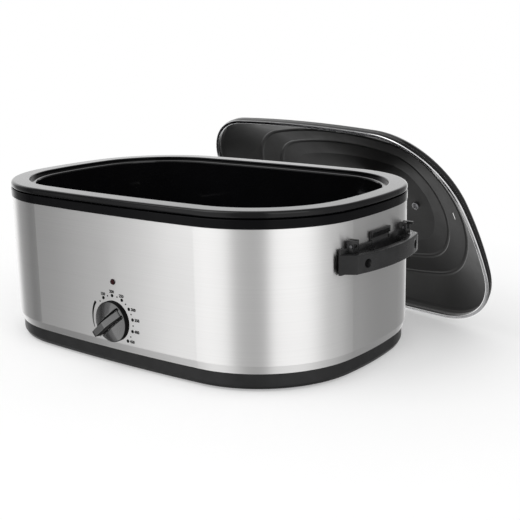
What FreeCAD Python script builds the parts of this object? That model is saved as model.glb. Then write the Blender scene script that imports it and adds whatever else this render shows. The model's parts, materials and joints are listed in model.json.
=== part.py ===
"""Electric roaster oven: steel body with a lift-out pan, rack and domed lid.

Frame: millimetres, +Z up, X along the long front, -Y towards the control knob.
The origin is on the table, under the middle of the body.
"""
import FreeCAD, Part
import math
import os

import Sketcher
from FreeCAD import Placement, Rotation, Vector

doc = FreeCAD.newDocument("roaster_oven")
sheet = doc.addObject("Spreadsheet::Sheet", "Sizes")
subparts = []

# ---------------------------------------------------------------- driving sizes

SIZES = {
    # plan of the body, measured on the steel wrap
    "half_length": 265.0,
    "half_depth": 182.0,
    "corner_radius": 140.0,
    "end_bow_radius": 490.0,
    "front_bow_radius": 2340.0,
    # heights above the table
    "foot_height": 3.0,
    "tray_height": 19.0,
    "wrap_height": 166.0,
    "collar_height": 10.7,
    # sheets and walls
    "wrap_sheet": 0.8,
    "liner_sheet": 0.8,
    "shield_sheet": 0.8,
    "tray_wall": 2.5,
    "pan_sheet": 1.5,
    "collar_plate": 3.0,
    "lid_sheet": 0.9,
    # base tray and feet
    "tray_inset": 4.5,
    "tray_bottom_inset": 6.5,
    "tray_chamfer_height": 4.0,
    "tray_rim_width": 9.0,
    "foot_radius": 11.0,
    "foot_inset_x": 80.0,
    "foot_inset_y": 70.0,
    # turned-in foot of the wrap
    "wrap_turn_inset": 3.0,
    "wrap_turn_height": 10.0,
    "wrap_lip_width": 7.0,
    # collar and pan rim
    "collar_overhang": 0.8,
    "collar_skirt": 4.4,
    "collar_round": 1.2,
    "rim_overhang": 0.5,
    "rim_roll_height": 9.0,
    "rim_roll_width": 8.5,
    "rim_roll_round": 3.8,
    "rim_inner_round": 1.4,
    "rim_shelf_width": 24.0,
    "rim_land_drop": 5.0,
    "rim_mouth_round": 2.2,
    "rim_width": 32.0,
    "seat_gap": 0.3,
    # heated well
    "well_inset": 28.0,
    "well_corner": 12.0,
    "well_floor_height": 33.0,
    "liner_flange_width": 9.0,
    "band_sheet": 1.6,
    "band_low": 58.0,
    "band_height": 60.0,
    "strap_sheet": 0.8,
    "strap_height": 8.0,
    "strap_margin": 8.0,
    "terminal_x": 100.0,
    "terminal_pitch": 16.0,
    "terminal_rise": 30.0,
    "terminal_radius": 2.5,
    "terminal_length": 11.0,
    "blanket_inset": 12.0,
    "blanket_low": 44.0,
    "blanket_high": 186.0,
    "control_window_half": 34.0,
    "control_window_rise": 20.0,
    "terminal_window_half": 30.0,
    "terminal_window_high": 108.0,
    "shield_inset": 22.0,
    "shield_level": 26.0,
    "standoff_radius": 4.0,
    "standoff_inset_x": 115.0,
    "standoff_inset_y": 102.0,
    "stud_radius": 3.0,
    "nut_height": 2.2,
    "nut_radius": 5.5,
    # roasting pan
    "pan_floor_gap": 3.0,
    "pan_draft": 5.6,
    "pan_corner": 10.0,
    # controls
    "control_x": 6.0,
    "knob_level": 59.5,
    "knob_radius": 25.0,
    "knob_skirt": 7.0,
    "knob_hub_radius": 19.0,
    "knob_hub_height": 2.0,
    "grip_bar_width": 8.5,
    "grip_bar_height": 17.0,
    "grip_bar_tip": 8.5,
    "grip_bar_tip_gap": 1.3,
    "grip_bar_tail": 20.0,
    "grip_bar_round": 1.6,
    "knob_skirt_round": 0.5,
    "knob_gap": 0.8,
    "knob_off_angle": 220.0,
    "shaft_radius": 3.0,
    "shaft_play": 0.05,
    "hole_play": 1.5,
    "thermostat_radius": 15.0,
    "thermostat_depth": 15.0,
    "thermostat_bore_depth": 10.0,
    "shaft_end_gap": 0.5,
    "sensor_radius": 3.5,
    "sensor_rise": 2.0,
    "bracket_sheet": 1.2,
    "bracket_half_width": 23.0,
    "bracket_half_height": 19.0,
    "bracket_gap": 0.3,
    "lamp_level": 107.5,
    "lamp_radius": 3.4,
    "lens_proud": 2.6,
    "lens_round": 2.0,
    "holder_wall": 2.0,
    "holder_depth": 12.0,
    "seat_play": 0.05,
    # side handles
    "handle_low": 130.4,
    "grip_height": 22.0,
    "grip_reach": 25.5,
    "grip_half_span": 83.0,
    "grip_shoulder": 71.0,
    "grip_bar": 8.0,
    "grip_bow_radius": 240.0,
    "grip_edge_round": 1.8,
    "finger_half_span": 42.0,
    "plate_sheet": 3.0,
    "plate_half_span": 80.0,
    "plate_height": 30.0,
    "plate_drop": 2.0,
    "post_height": 36.5,
    "post_width": 12.0,
    "post_depth": 6.5,
    "post_slot": 4.0,
    "post_y": 62.0,
    "post_gap": 0.2,
    "tab_reach": 4.5,
    "tab_thick": 3.0,
    "window_half_span": 22.0,
    "window_low": 153.0,
    "window_high": 169.5,
    "window_bar": 2.4,
    "window_back": 1.0,
    "pin_radius": 1.7,
    "pin_drop": 6.5,
    "pin_offset": 3.4,
    "pin_proud": 0.8,
    "handle_screw_y": 57.0,
    "handle_screw_level": 141.4,
    "screw_radius": 2.0,
    "screw_length": 20.0,
    "screw_seat": 8.0,
    "screw_head_radius": 4.5,
    "screw_head_height": 3.0,
    "recess_play": 0.8,
    # lid, measured in its own frame with +Z towards the top of the dome
    "lid_inset": 24.0,
    "edge_width": 5.0,
    "edge_height": 6.0,
    "edge_roll": 1.3,
    "shell_step": 1.4,
    "flank_height": 10.0,
    "flank_lean": 6.6,
    "outer_ridge_share_x": 0.7925,
    "outer_ridge_share_y": 0.7785,
    "outer_ridge_level": 41.5,
    "inner_ridge_share_x": 0.6473,
    "inner_ridge_share_y": 0.6266,
    "inner_ridge_level": 50.0,
    "crown_share_x": 0.5394,
    "crown_share_y": 0.4684,
    "dome_height": 53.5,
    "round_corner_share": 0.71,
    "round_end_share": 1.07,
    "round_front_share": 1.95,
    "ridge_rise": 1.4,
    "ridge_half_width": 2.6,
    "vent_length": 12.0,
    "vent_width": 2.6,
    "lid_handle_margin": 27.0,
    "lid_handle_rise": 34.0,
    "lid_handle_width": 24.0,
    "lid_handle_thick": 12.0,
    "lid_handle_foot": 11.0,
    "lid_handle_slope": 6.0,
    "lid_handle_bow": 700.0,
    "lid_handle_shoulder": 7.0,
    "lid_handle_round": 3.0,
    "lid_screw_length": 13.0,
    "lid_screw_head": 5.0,
    # how the lid stands behind the body when it is taken off
    "lid_lean": 29.4,
    "lid_turn": -13.76,
    "lid_shift": 66.0,
    "lean_gap": 0.4,
    "lid_floor_gap": 0.1,
    # rack
    "rack_inset": 52.0,
    "rack_wire": 2.5,
    "rack_rod": 1.6,
    "rack_lift": 14.0,
    "rack_foot_gap": 0.3,
    "rack_foot_x": 130.0,
    "rack_pitch": 30.0,
    "rack_long_rod_y": 56.0,
    "rack_handle_rise": 80.0,
    "rack_handle_half": 55.0,
    # wiring parts
    "inlet_level": 13.0,
    "bushing_radius": 6.0,
    "bushing_bore": 4.0,
    "bushing_flange": 3.0,
    "bushing_flange_wall": 2.0,
    "bushing_neck": 5.5,
    "terminal_block_x": 90.0,
    "terminal_block_y": 100.0,
    "terminal_block_length": 36.0,
    "terminal_block_width": 22.0,
    "terminal_block_height": 15.0,
    "fuse_x": 70.0,
    "fuse_y": 30.0,
    "fuse_radius": 1.9,
    "fuse_length": 14.0,
}

for row, (alias, value) in enumerate(SIZES.items(), start=1):
    sheet.set(f"A{row}", alias)
    sheet.set(f"B{row}", str(value))
    sheet.setAlias(f"B{row}", alias)
doc.recompute()


class Length:
    """A number together with the sheet formula that gives it."""

    def __init__(self, formula, value):
        self.formula = formula
        self.value = value

    def _join(self, sign, other, value):
        return Length(f"({self.formula} {sign} {other.formula})", value)

    def __add__(self, other):
        other = length(other)
        return self._join("+", other, self.value + other.value)

    def __sub__(self, other):
        other = length(other)
        return self._join("-", other, self.value - other.value)

    def __mul__(self, other):
        other = length(other)
        return self._join("*", other, self.value * other.value)

    def __truediv__(self, other):
        other = length(other)
        return self._join("/", other, self.value / other.value)

    def __neg__(self):
        return Length(f"(0 - {self.formula})", -self.value)

    def __rsub__(self, other):
        return length(other) - self


def length(item):
    """Give a plain number the same form as a sheet value."""
    return item if isinstance(item, Length) else Length(repr(float(item)), float(item))


def leg(slant, other):
    """The second leg of a right triangle."""
    slant, other = length(slant), length(other)
    square = slant * slant - other * other
    return Length(f"sqrt({square.formula})", math.sqrt(square.value))


def size(alias):
    """One cell of the sheet."""
    return Length(f"Sizes.{alias}", float(sheet.get(alias)))


# ---------------------------------------------------------------- sketch helpers

PLANE_ROLES = {"plan": "XY_Plane", "front": "XZ_Plane", "side": "YZ_Plane"}


def new_body(label):
    """A PartDesign body that becomes one node of the assembly."""
    body = doc.addObject("PartDesign::Body", label)
    body.Label = label
    subparts.append(body)
    return body


def new_sketch(body, name, plane="plan", level=0.0):
    """A sketch on one of the body's own planes, raised to a level along the plane's normal."""
    sketch = body.newObject("Sketcher::SketchObject", name)
    role = PLANE_ROLES[plane]
    origin_plane = [item for item in body.Origin.OriginFeatures if item.Role == role][0]
    sketch.AttachmentSupport = [(origin_plane, "")]
    sketch.MapMode = "FlatFace"
    level = length(level)
    sketch.AttachmentOffset = Placement(Vector(0, 0, level.value), Rotation())
    sketch.setExpression(".AttachmentOffset.Base.z", level.formula)
    return sketch


def constrain(sketch, formula, *items):
    """Add a sketch constraint and bind its value to the sheet."""
    index = sketch.addConstraint(Sketcher.Constraint(*items))
    sketch.setExpression(f"Constraints[{index}]", formula)


def pin_coordinate(sketch, kind, geometry, point, coordinate):
    """Hold one coordinate of a point, measured from the sketch's origin."""
    coordinate = length(coordinate)
    if coordinate.value > 0:
        constrain(sketch, coordinate.formula, kind, -1, 1, geometry, point, coordinate.value)
    elif coordinate.value < 0:
        mirrored = -coordinate
        constrain(sketch, mirrored.formula, kind, geometry, point, -1, 1, mirrored.value)
    else:
        axis = -2 if kind == "DistanceX" else -1
        sketch.addConstraint(Sketcher.Constraint("PointOnObject", geometry, point, axis))


def circle(sketch, x, y, radius):
    """A circle with its centre and radius bound to the sheet."""
    x, y, radius = length(x), length(y), length(radius)
    shape = Part.Circle(Vector(x.value, y.value, 0), Vector(0, 0, 1), radius.value)
    index = sketch.addGeometry(shape)
    pin_coordinate(sketch, "DistanceX", index, 3, x)
    pin_coordinate(sketch, "DistanceY", index, 3, y)
    constrain(sketch, radius.formula, "Radius", index, radius.value)


def loop(sketch, corners):
    """A closed outline. Each corner is x, y and, where the side to the next corner is an arc,
    that arc's radius: positive bulges to the right of the direction of travel."""
    corners = [(length(c[0]), length(c[1]), length(c[2]) if len(c) > 2 else None) for c in corners]
    first = sketch.GeometryCount
    count = len(corners)
    arcs = {}
    for number, (x, y, radius) in enumerate(corners):
        start = Vector(x.value, y.value, 0)
        end = Vector(corners[(number + 1) % count][0].value, corners[(number + 1) % count][1].value, 0)
        if radius is None:
            sketch.addGeometry(Part.LineSegment(start, end))
            continue
        chord = end - start
        right = Vector(chord.y, -chord.x, 0).normalize()
        side = 1 if radius.value > 0 else -1
        reach = math.sqrt(radius.value ** 2 - chord.Length ** 2 / 4)
        centre = (start + end) / 2 - right * side * reach
        geometry = Part.ArcOfCircle(Part.Circle(centre, Vector(0, 0, 1), abs(radius.value)),
                                    *turn_angles(centre, start, end, side))
        index = sketch.addGeometry(geometry)
        arcs[index - first] = side
        constrain_radius = radius if side > 0 else -radius
        constrain(sketch, constrain_radius.formula, "Radius", index, constrain_radius.value)
    for number, (x, y, radius) in enumerate(corners):
        following = (number + 1) % count
        end_point = 1 if arcs.get(number, 1) < 0 else 2
        start_point = 2 if arcs.get(following, 1) < 0 else 1
        sketch.addConstraint(Sketcher.Constraint("Coincident", first + number, end_point,
                                                 first + following, start_point))
        own_start = 2 if arcs.get(number, 1) < 0 else 1
        pin_coordinate(sketch, "DistanceX", first + number, own_start, x)
        pin_coordinate(sketch, "DistanceY", first + number, own_start, y)


def rectangle(left, right, low, high):
    """The four corners of an upright rectangle."""
    return [(left, low), (right, low), (right, high), (left, high)]


def turn_angles(centre, start, end, side):
    """Start and end angle of an arc drawn counter-clockwise between two points."""
    first, last = (start, end) if side > 0 else (end, start)
    low = math.atan2(first.y - centre.y, first.x - centre.x)
    high = math.atan2(last.y - centre.y, last.x - centre.x)
    return low, high if high > low else high + 2 * math.pi


class Plan:
    """A bowed rectangle of eight tangent arcs: two long bows, two end bows, four corners."""

    def __init__(self, half_length, half_depth, corner, end_bow, front_bow):
        self.half_length = length(half_length)
        self.half_depth = length(half_depth)
        self.corner = length(corner)
        self.end_bow = length(end_bow)
        self.front_bow = length(front_bow)

    def inset(self, distance):
        """The same plan, moved inwards all round."""
        return Plan(self.half_length - distance, self.half_depth - distance, self.corner - distance,
                    self.end_bow - distance, self.front_bow - distance)

    def corner_centre(self):
        """Centre of the corner arc that touches the end bow and the long bow."""
        end = Vector(self.half_length.value - self.end_bow.value, 0, 0)
        front = Vector(0, self.half_depth.value - self.front_bow.value, 0)
        to_end = self.end_bow.value - self.corner.value
        to_front = self.front_bow.value - self.corner.value
        apart = (front - end).Length
        along = (to_end ** 2 - to_front ** 2 + apart ** 2) / (2 * apart)
        aside = math.sqrt(to_end ** 2 - along ** 2)
        direction = (front - end).normalize()
        return end + direction * along + Vector(-direction.y, direction.x, 0) * aside

    def wall_x(self, y):
        """Where the end bow stands at a distance y from the middle."""
        return self.half_length - self.end_bow + leg(self.end_bow, y)

    def wall_y(self, x):
        """Where the long bow stands at a distance x from the middle."""
        return self.half_depth - self.front_bow + leg(self.front_bow, x)

    def draw(self, sketch):
        """Add the outline to a sketch, fully constrained."""
        first = sketch.GeometryCount
        corner = self.corner_centre()
        end_centre = self.half_length.value - self.end_bow.value
        front_centre = self.half_depth.value - self.front_bow.value
        end_turn = math.atan2(corner.y, corner.x - end_centre)
        front_turn = math.atan2(corner.y - front_centre, corner.x)
        half, full = math.pi, 2 * math.pi
        arcs = [
            (end_centre, 0, self.end_bow, -end_turn, end_turn),
            (corner.x, corner.y, self.corner, end_turn, front_turn),
            (0, front_centre, self.front_bow, front_turn, half - front_turn),
            (-corner.x, corner.y, self.corner, half - front_turn, half - end_turn),
            (-end_centre, 0, self.end_bow, half - end_turn, half + end_turn),
            (-corner.x, -corner.y, self.corner, half + end_turn, half + front_turn),
            (0, -front_centre, self.front_bow, half + front_turn, full - front_turn),
            (corner.x, -corner.y, self.corner, full - front_turn, full - end_turn),
        ]
        for x, y, radius, low, high in arcs:
            round_part = Part.Circle(Vector(x, y, 0), Vector(0, 0, 1), radius.value)
            index = sketch.addGeometry(Part.ArcOfCircle(round_part, low, high))
            constrain(sketch, radius.formula, "Radius", index, radius.value)
        for number in range(8):
            sketch.addConstraint(Sketcher.Constraint("Tangent", first + number, 2,
                                                     first + (number + 1) % 8, 1))
        for number, side in ((0, 1), (4, -1)):
            offset = (self.half_length - self.end_bow) * side
            pin_coordinate(sketch, "DistanceX", first + number, 3, offset)
            sketch.addConstraint(Sketcher.Constraint("PointOnObject", first + number, 3, -1))
        for number, side in ((2, 1), (6, -1)):
            offset = (self.half_depth - self.front_bow) * side
            pin_coordinate(sketch, "DistanceY", first + number, 3, offset)
            sketch.addConstraint(Sketcher.Constraint("PointOnObject", first + number, 3, -2))


# ---------------------------------------------------------------- feature helpers

def pad(body, name, sketch, height):
    """Extrude a sketch along its normal."""
    feature = body.newObject("PartDesign::Pad", name)
    feature.Profile = sketch
    feature.Length = length(height).value
    feature.setExpression("Length", length(height).formula)
    sketch.Visibility = False
    return feature


def pocket(body, name, sketch, depth, along_normal=False):
    """Cut a sketch against its normal, or along it."""
    feature = body.newObject("PartDesign::Pocket", name)
    feature.Profile = sketch
    feature.Length = length(depth).value
    feature.setExpression("Length", length(depth).formula)
    feature.Reversed = along_normal
    return feature


def plan_sketch(body, name, level, *plans):
    """A sketch of one plan, or of one plan inside another."""
    sketch = new_sketch(body, name, "plan", level)
    for plan in plans:
        plan.draw(sketch)
    return sketch


def plan_pad(body, name, low, high, *plans):
    """A slab or sleeve between two heights."""
    return pad(body, name, plan_sketch(body, f"{name}_plan", low, *plans), length(high) - low)


def loft(body, kind, name, stations):
    """A ruled loft through plans at given heights; kind is Additive or Subtractive."""
    sketches = [plan_sketch(body, f"{name}_{number}", level, plan)
                for number, (level, plan) in enumerate(stations)]
    feature = body.newObject(f"PartDesign::{kind}Loft", name)
    feature.Profile = sketches[0]
    feature.Sections = sketches[1:]
    feature.Ruled = True
    return feature


def round_hole(body, name, plane, level, x, y, radius, depth, along_normal=False):
    """A round cut from a plane raised to a level."""
    sketch = new_sketch(body, f"{name}_circle", plane, level)
    circle(sketch, x, y, radius)
    return pocket(body, name, sketch, depth, along_normal)


def edges_at(shape, test):
    """Names of a shape's edges whose middle passes a test."""
    names = []
    for number, edge in enumerate(shape.Edges, start=1):
        middle = edge.valueAt((edge.FirstParameter + edge.LastParameter) / 2)
        if test(middle, edge):
            names.append(f"Edge{number}")
    return names


def fillet(body, name, base, radius, test):
    """Round the edges of a feature that pass a test."""
    doc.recompute()
    feature = body.newObject("PartDesign::Fillet", name)
    feature.Base = (base, edges_at(base.Shape, test))
    feature.Radius = length(radius).value
    feature.setExpression("Radius", length(radius).formula)
    return feature


def at_level(*levels):
    """A test for edges that lie at one of the given heights."""
    heights = [length(level).value for level in levels]

    def test(middle, edge):
        flat = edge.BoundBox.ZLength < 1e-3
        return flat and any(abs(middle.z - height) < 1e-3 for height in heights)
    return test


def cylinder(label, radius, height, centre, direction="up"):
    """A round bar as a Part primitive, standing at centre."""
    shape = doc.addObject("Part::Cylinder", label)
    shape.Label = label
    for name, value in (("Radius", length(radius)), ("Height", length(height))):
        setattr(shape, name, value.value)
        shape.setExpression(name, value.formula)
    turns = {"up": Rotation(), "front": Rotation(Vector(1, 0, 0), 90),
             "back": Rotation(Vector(1, 0, 0), -90), "right": Rotation(Vector(0, 1, 0), 90),
             "left": Rotation(Vector(0, 1, 0), -90)}
    place(shape, centre, turns[direction])
    return shape


def place(item, centre, turn=Rotation()):
    """Set a placement and bind its three coordinates to the sheet."""
    centre = [length(value) for value in centre]
    item.Placement = Placement(Vector(*[value.value for value in centre]), turn)
    for axis, value in zip("xyz", centre):
        item.setExpression(f".Placement.Base.{axis}", value.formula)


def block(label, low, extent):
    """A rectangular block as a Part primitive."""
    shape = doc.addObject("Part::Box", label)
    shape.Label = label
    for name, value in zip(("Length", "Width", "Height"), extent):
        setattr(shape, name, length(value).value)
        shape.setExpression(name, length(value).formula)
    place(shape, low)
    return shape


def combine(kind, label, items):
    """Fuse or group several solids into one node."""
    shape = doc.addObject(kind, label)
    shape.Label = label
    if kind == "Part::Compound":
        shape.Links = items
    else:
        shape.Shapes = items
    subparts.append(shape)
    return shape


def cut(label, base, tool):
    """Take one solid out of another."""
    shape = doc.addObject("Part::Cut", label)
    shape.Label = label
    shape.Base = base
    shape.Tool = tool
    return shape


# ---------------------------------------------------------------- shared values

body_plan = Plan(size("half_length"), size("half_depth"), size("corner_radius"),
                 size("end_bow_radius"), size("front_bow_radius"))
tray_bottom = size("foot_height")
tray_top = tray_bottom + size("tray_height")
wrap_top = tray_top + size("wrap_height")
collar_top = wrap_top + size("collar_height")
rim_low = collar_top + size("seat_gap")
rim_top = rim_low + size("rim_roll_height")
land_top = rim_top - size("rim_land_drop")
well_floor = size("well_floor_height")
liner_outer_inset = size("well_inset") - size("liner_sheet")
pan_floor = well_floor + size("liner_sheet") + size("pan_floor_gap") + size("pan_sheet")
control_x = size("control_x")
knob_level = size("knob_level")
lamp_level = size("lamp_level")
front_face = -size("half_depth")
front_inside = front_face + size("wrap_sheet")
gauge = size("lid_sheet")

# How far below the top of the lid's handle its top edges are looked for.
LEVEL_MARGIN = 0.5

# How far a cut runs past the faces that it cuts through.
CUT_MARGIN = 5.0

# Rounded bottom of a pressed well: share of the corner up the wall, share of it inwards.
WELL_CURVE = ((0.0, 1.0), (0.3, 0.35), (1.0, 0.0))

# Where the curl of the pan's mouth bends, as a share of its size.
MOUTH_BEND = 0.27

# How round the outline rod of the rack is, as a share of its half thickness.
WIRE_ROUND = 0.9

# The lid's flank and ridges as shares of their heights and widths.
FLANK_CURVE = ((0.0, 0.0), (0.5, 0.06), (0.8, 0.4), (1.0, 1.0))
RIDGE_CURVE = ((-1.5, -1.0), (0.0, -0.4), (0.4, 0.4), (0.2, 1.4))


# ---------------------------------------------------------------- base

def make_base_tray():
    """The dark band at the bottom: a floor, a low wall and a rim that carries the wrap."""
    body = new_body("base_tray")
    chamfer_top = tray_bottom + size("tray_chamfer_height")
    loft(body, "Additive", "outside", [
        (tray_bottom, body_plan.inset(size("tray_bottom_inset"))),
        (chamfer_top, body_plan.inset(size("tray_inset"))),
        (tray_top, body_plan.inset(size("tray_inset"))),
    ])
    floor = tray_bottom + size("tray_wall")
    rim_low_face = tray_top - size("tray_wall")
    wall = body_plan.inset(size("tray_bottom_inset") + size("tray_wall"))
    pocket(body, "hollow", plan_sketch(body, "hollow_plan", rim_low_face, wall), rim_low_face - floor)
    mouth = body_plan.inset(size("tray_inset") + size("tray_rim_width"))
    pocket(body, "mouth", plan_sketch(body, "mouth_plan", tray_top, mouth), size("tray_wall"))
    round_hole(body, "stud_hole", "plan", floor, 0, 0, size("stud_radius") + size("shaft_play"),
               size("tray_wall"))
    end_level = size("half_length") + CUT_MARGIN
    round_hole(body, "inlet_hole", "side", -end_level, 0, size("inlet_level"),
               size("bushing_radius") + size("seat_play"),
               size("tray_bottom_inset") + size("tray_wall") + CUT_MARGIN * 2, along_normal=True)


def make_feet():
    """Four rubber feet under the tray."""
    for end, side_x in (("left", -1), ("right", 1)):
        for face, side_y in (("front", -1), ("rear", 1)):
            foot = cylinder(f"foot_{face}_{end}", size("foot_radius"), tray_bottom,
                            ((size("half_length") - size("foot_inset_x")) * side_x,
                             (size("half_depth") - size("foot_inset_y")) * side_y, 0))
            subparts.append(foot)


def make_outer_wrap():
    """The brushed steel sleeve, turned in at its foot, with its holes."""
    body = new_body("outer_wrap")
    sheet_gauge = size("wrap_sheet")
    turn_top = tray_top + size("wrap_turn_height")
    turned = body_plan.inset(size("wrap_turn_inset"))
    loft(body, "Additive", "outside", [(tray_top, turned), (turn_top, body_plan), (wrap_top, body_plan)])
    inside = body_plan.inset(sheet_gauge)
    loft(body, "Subtractive", "inside", [
        (tray_top + sheet_gauge, turned.inset(sheet_gauge)),
        (turn_top, inside),
        (wrap_top, inside),
    ])
    opening = turned.inset(size("wrap_lip_width"))
    pocket(body, "lip", plan_sketch(body, "lip_plan", tray_top + sheet_gauge, opening), sheet_gauge)
    front_level = size("half_depth") + CUT_MARGIN
    depth = sheet_gauge + CUT_MARGIN * 2
    round_hole(body, "shaft_hole", "front", front_level, control_x, knob_level,
               size("shaft_radius") + size("hole_play"), depth)
    round_hole(body, "lamp_hole", "front", front_level, control_x, lamp_level, size("lamp_radius"), depth)
    side_level = size("half_length") + CUT_MARGIN
    for end, side in (("left", -1), ("right", 1)):
        for face, across in (("front", -1), ("rear", 1)):
            round_hole(body, f"handle_hole_{face}_{end}", "side", side_level * side,
                       size("handle_screw_y") * across, size("handle_screw_level"),
                       size("screw_radius"), depth + CUT_MARGIN, along_normal=side < 0)


def make_upper_collar():
    """The black ring that caps the wrap and carries the pan's rim."""
    body = new_body("upper_collar")
    outside = body_plan.inset(-size("collar_overhang"))
    plan_pad(body, "ring", wrap_top, collar_top, outside, body_plan.inset(liner_outer_inset))
    hollow_top = collar_top - size("collar_plate")
    sketch = plan_sketch(body, "hollow_plan", hollow_top,
                         body_plan.inset(size("collar_skirt") - size("collar_overhang")),
                         body_plan.inset(size("well_inset") + CUT_MARGIN))
    pocket(body, "hollow", sketch, size("collar_height"))

    def outer_edge(middle, edge):
        return at_level(collar_top, wrap_top)(middle, edge) and on_plan(outside, middle)
    fillet(body, "soft_edge", body.Tip, size("collar_round"), outer_edge)


def on_plan(plan, point):
    """True where a point lies on a plan's outline."""
    corner = plan.corner_centre()
    x, y = abs(point.x), abs(point.y)
    end_reach = math.hypot(x - plan.half_length.value + plan.end_bow.value, y)
    front_reach = math.hypot(x, y - plan.half_depth.value + plan.front_bow.value)
    corner_reach = math.hypot(x - corner.x, y - corner.y)
    gaps = (end_reach - plan.end_bow.value, front_reach - plan.front_bow.value,
            corner_reach - plan.corner.value)
    return any(abs(gap) < 1e-3 for gap in gaps)


def make_well_liner():
    """The steel well that the pan hangs in, with a flange under the collar."""
    body = new_body("well_liner")
    sheet_gauge = size("liner_sheet")
    flange_top = collar_top - size("collar_plate")
    outer = body_plan.inset(liner_outer_inset)
    corner = size("well_corner")
    loft(body, "Additive", "outside", rounded_floor(outer, well_floor, corner) + [(flange_top, outer)])
    plan_pad(body, "flange", flange_top - sheet_gauge, flange_top,
             outer.inset(-size("liner_flange_width")))
    inner = outer.inset(sheet_gauge)
    loft(body, "Subtractive", "inside",
         rounded_floor(inner, well_floor + sheet_gauge, corner) + [(flange_top, inner)])


def rounded_floor(plan, level, corner):
    """Heights and plans of a pressed floor whose edge curves up into the wall."""
    return [(level + corner * up, plan.inset(corner * inwards)) for up, inwards in WELL_CURVE]


def make_heater():
    """A flat heating band round the well, two steel straps and two terminals."""
    band_inset = liner_outer_inset - size("band_sheet")
    band_high = size("band_low") + size("band_height")
    band = new_body("heater_band")
    plan_pad(band, "band", size("band_low"), band_high,
             body_plan.inset(band_inset), body_plan.inset(liner_outer_inset))
    strap_inset = band_inset - size("strap_sheet")
    levels = {"lower": size("band_low") + size("strap_margin"),
              "upper": band_high - size("strap_margin") - size("strap_height")}
    for place_name, level in levels.items():
        strap = new_body(f"heater_strap_{place_name}")
        plan_pad(strap, "strap", level, level + size("strap_height"),
                 body_plan.inset(strap_inset), body_plan.inset(band_inset))
    blanket = new_body("insulation_blanket")
    plan_pad(blanket, "blanket", size("blanket_low"), size("blanket_high"),
             body_plan.inset(size("blanket_inset")), body_plan.inset(strap_inset))
    doc.recompute()
    open_low = size("blanket_low") - CUT_MARGIN
    half = size("control_window_half")
    window = new_sketch(blanket, "control_window_outline", "front", size("half_depth"))
    loop(window, rectangle(control_x - half, control_x + half, open_low,
                           lamp_level + size("control_window_rise")))
    pocket(blanket, "control_window", window, size("well_inset") + CUT_MARGIN)
    middle = size("terminal_x") + size("terminal_pitch") / 2
    half = size("terminal_window_half")
    rear = new_sketch(blanket, "terminal_window_outline", "front", -size("half_depth"))
    loop(rear, rectangle(middle - half, middle + half, open_low, size("terminal_window_high")))
    pocket(blanket, "terminal_window", rear, size("well_inset") + CUT_MARGIN, along_normal=True)


def make_heater_terminals():
    """Two threaded terminals that stand on the rear of the band."""
    band_plan = body_plan.inset(liner_outer_inset - size("band_sheet"))
    radius = size("terminal_radius")
    bars = []
    for number in range(2):
        x = size("terminal_x") + size("terminal_pitch") * number
        centre = (x, band_plan.wall_y(x - radius), size("band_low") + size("terminal_rise"))
        bars.append(cylinder(f"terminal_{number}", radius, size("terminal_length"), centre, "back"))
    combine("Part::Compound", "heater_terminals", bars)


def make_underside():
    """Heat shield, its four stand-offs and the centre stud with its nut."""
    floor = tray_bottom + size("tray_wall")
    shield = new_body("heat_shield")
    level = size("shield_level")
    plan_pad(shield, "plate", level, level + size("shield_sheet"), body_plan.inset(size("shield_inset")))
    round_hole(shield, "stud_hole", "plan", level + size("shield_sheet"), 0, 0,
               size("stud_radius") + size("shaft_play"), size("shield_sheet"))
    posts = []
    for side_x in (-1, 1):
        for side_y in (-1, 1):
            posts.append(cylinder(f"standoff_{len(posts)}", size("standoff_radius"), level - floor,
                                  ((size("half_length") - size("standoff_inset_x")) * side_x,
                                   (size("half_depth") - size("standoff_inset_y")) * side_y,
                                   floor)))
    combine("Part::Compound", "shield_standoffs", posts)
    nut_low = tray_bottom - size("nut_height")
    stud = cylinder("centre_stud", size("stud_radius"), well_floor - nut_low, (0, 0, nut_low))
    subparts.append(stud)
    nut = new_body("centre_nut")
    sketch = new_sketch(nut, "hexagon", "plan", nut_low)
    radius = size("nut_radius")
    corners = []
    for step in range(6):
        turn = math.radians(60 * step)
        corners.append((radius * round(math.cos(turn), 12), radius * round(math.sin(turn), 12)))
    loop(sketch, corners)
    circle(sketch, 0, 0, size("stud_radius"))
    pad(nut, "nut", sketch, size("nut_height"))


# ---------------------------------------------------------------- controls

def make_thermostat():
    """Bracket, thermostat and its sensing post behind the front of the wrap."""
    bracket = new_body("thermostat_bracket")
    bracket_front = front_inside + size("bracket_gap")
    outline = new_sketch(bracket, "plate_outline", "front", -bracket_front)
    half, rise = size("bracket_half_width"), size("bracket_half_height")
    loop(outline, rectangle(control_x - half, control_x + half, knob_level - rise, knob_level + rise))
    circle(outline, control_x, knob_level, size("shaft_radius") + size("hole_play"))
    plate = pad(bracket, "plate", outline, size("bracket_sheet"))
    plate.Reversed = True
    back_of_plate = bracket_front + size("bracket_sheet")
    case = cylinder("thermostat_case", size("thermostat_radius"), size("thermostat_depth"),
                    (control_x, back_of_plate, knob_level), "back")
    bore = cylinder("thermostat_bore", size("shaft_radius") + size("shaft_play"),
                    size("thermostat_bore_depth"), (control_x, back_of_plate, knob_level), "back")
    subparts.append(cut("thermostat_body", case, bore))
    sensor_start = back_of_plate + size("thermostat_depth")
    band_front = -(size("half_depth") - liner_outer_inset) - size("band_sheet")
    sensor = cylinder("thermostat_sensor", size("sensor_radius"), band_front - sensor_start,
                      (control_x, sensor_start, knob_level + size("sensor_rise")), "back")
    subparts.append(sensor)
    shaft_end = back_of_plate + size("thermostat_bore_depth") - size("shaft_end_gap")
    shaft_start = front_face - size("knob_gap") - size("knob_skirt") - size("knob_hub_height")
    shaft = cylinder("control_shaft", size("shaft_radius"), shaft_end - shaft_start,
                     (control_x, shaft_start, knob_level), "back")
    subparts.append(shaft)


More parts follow.
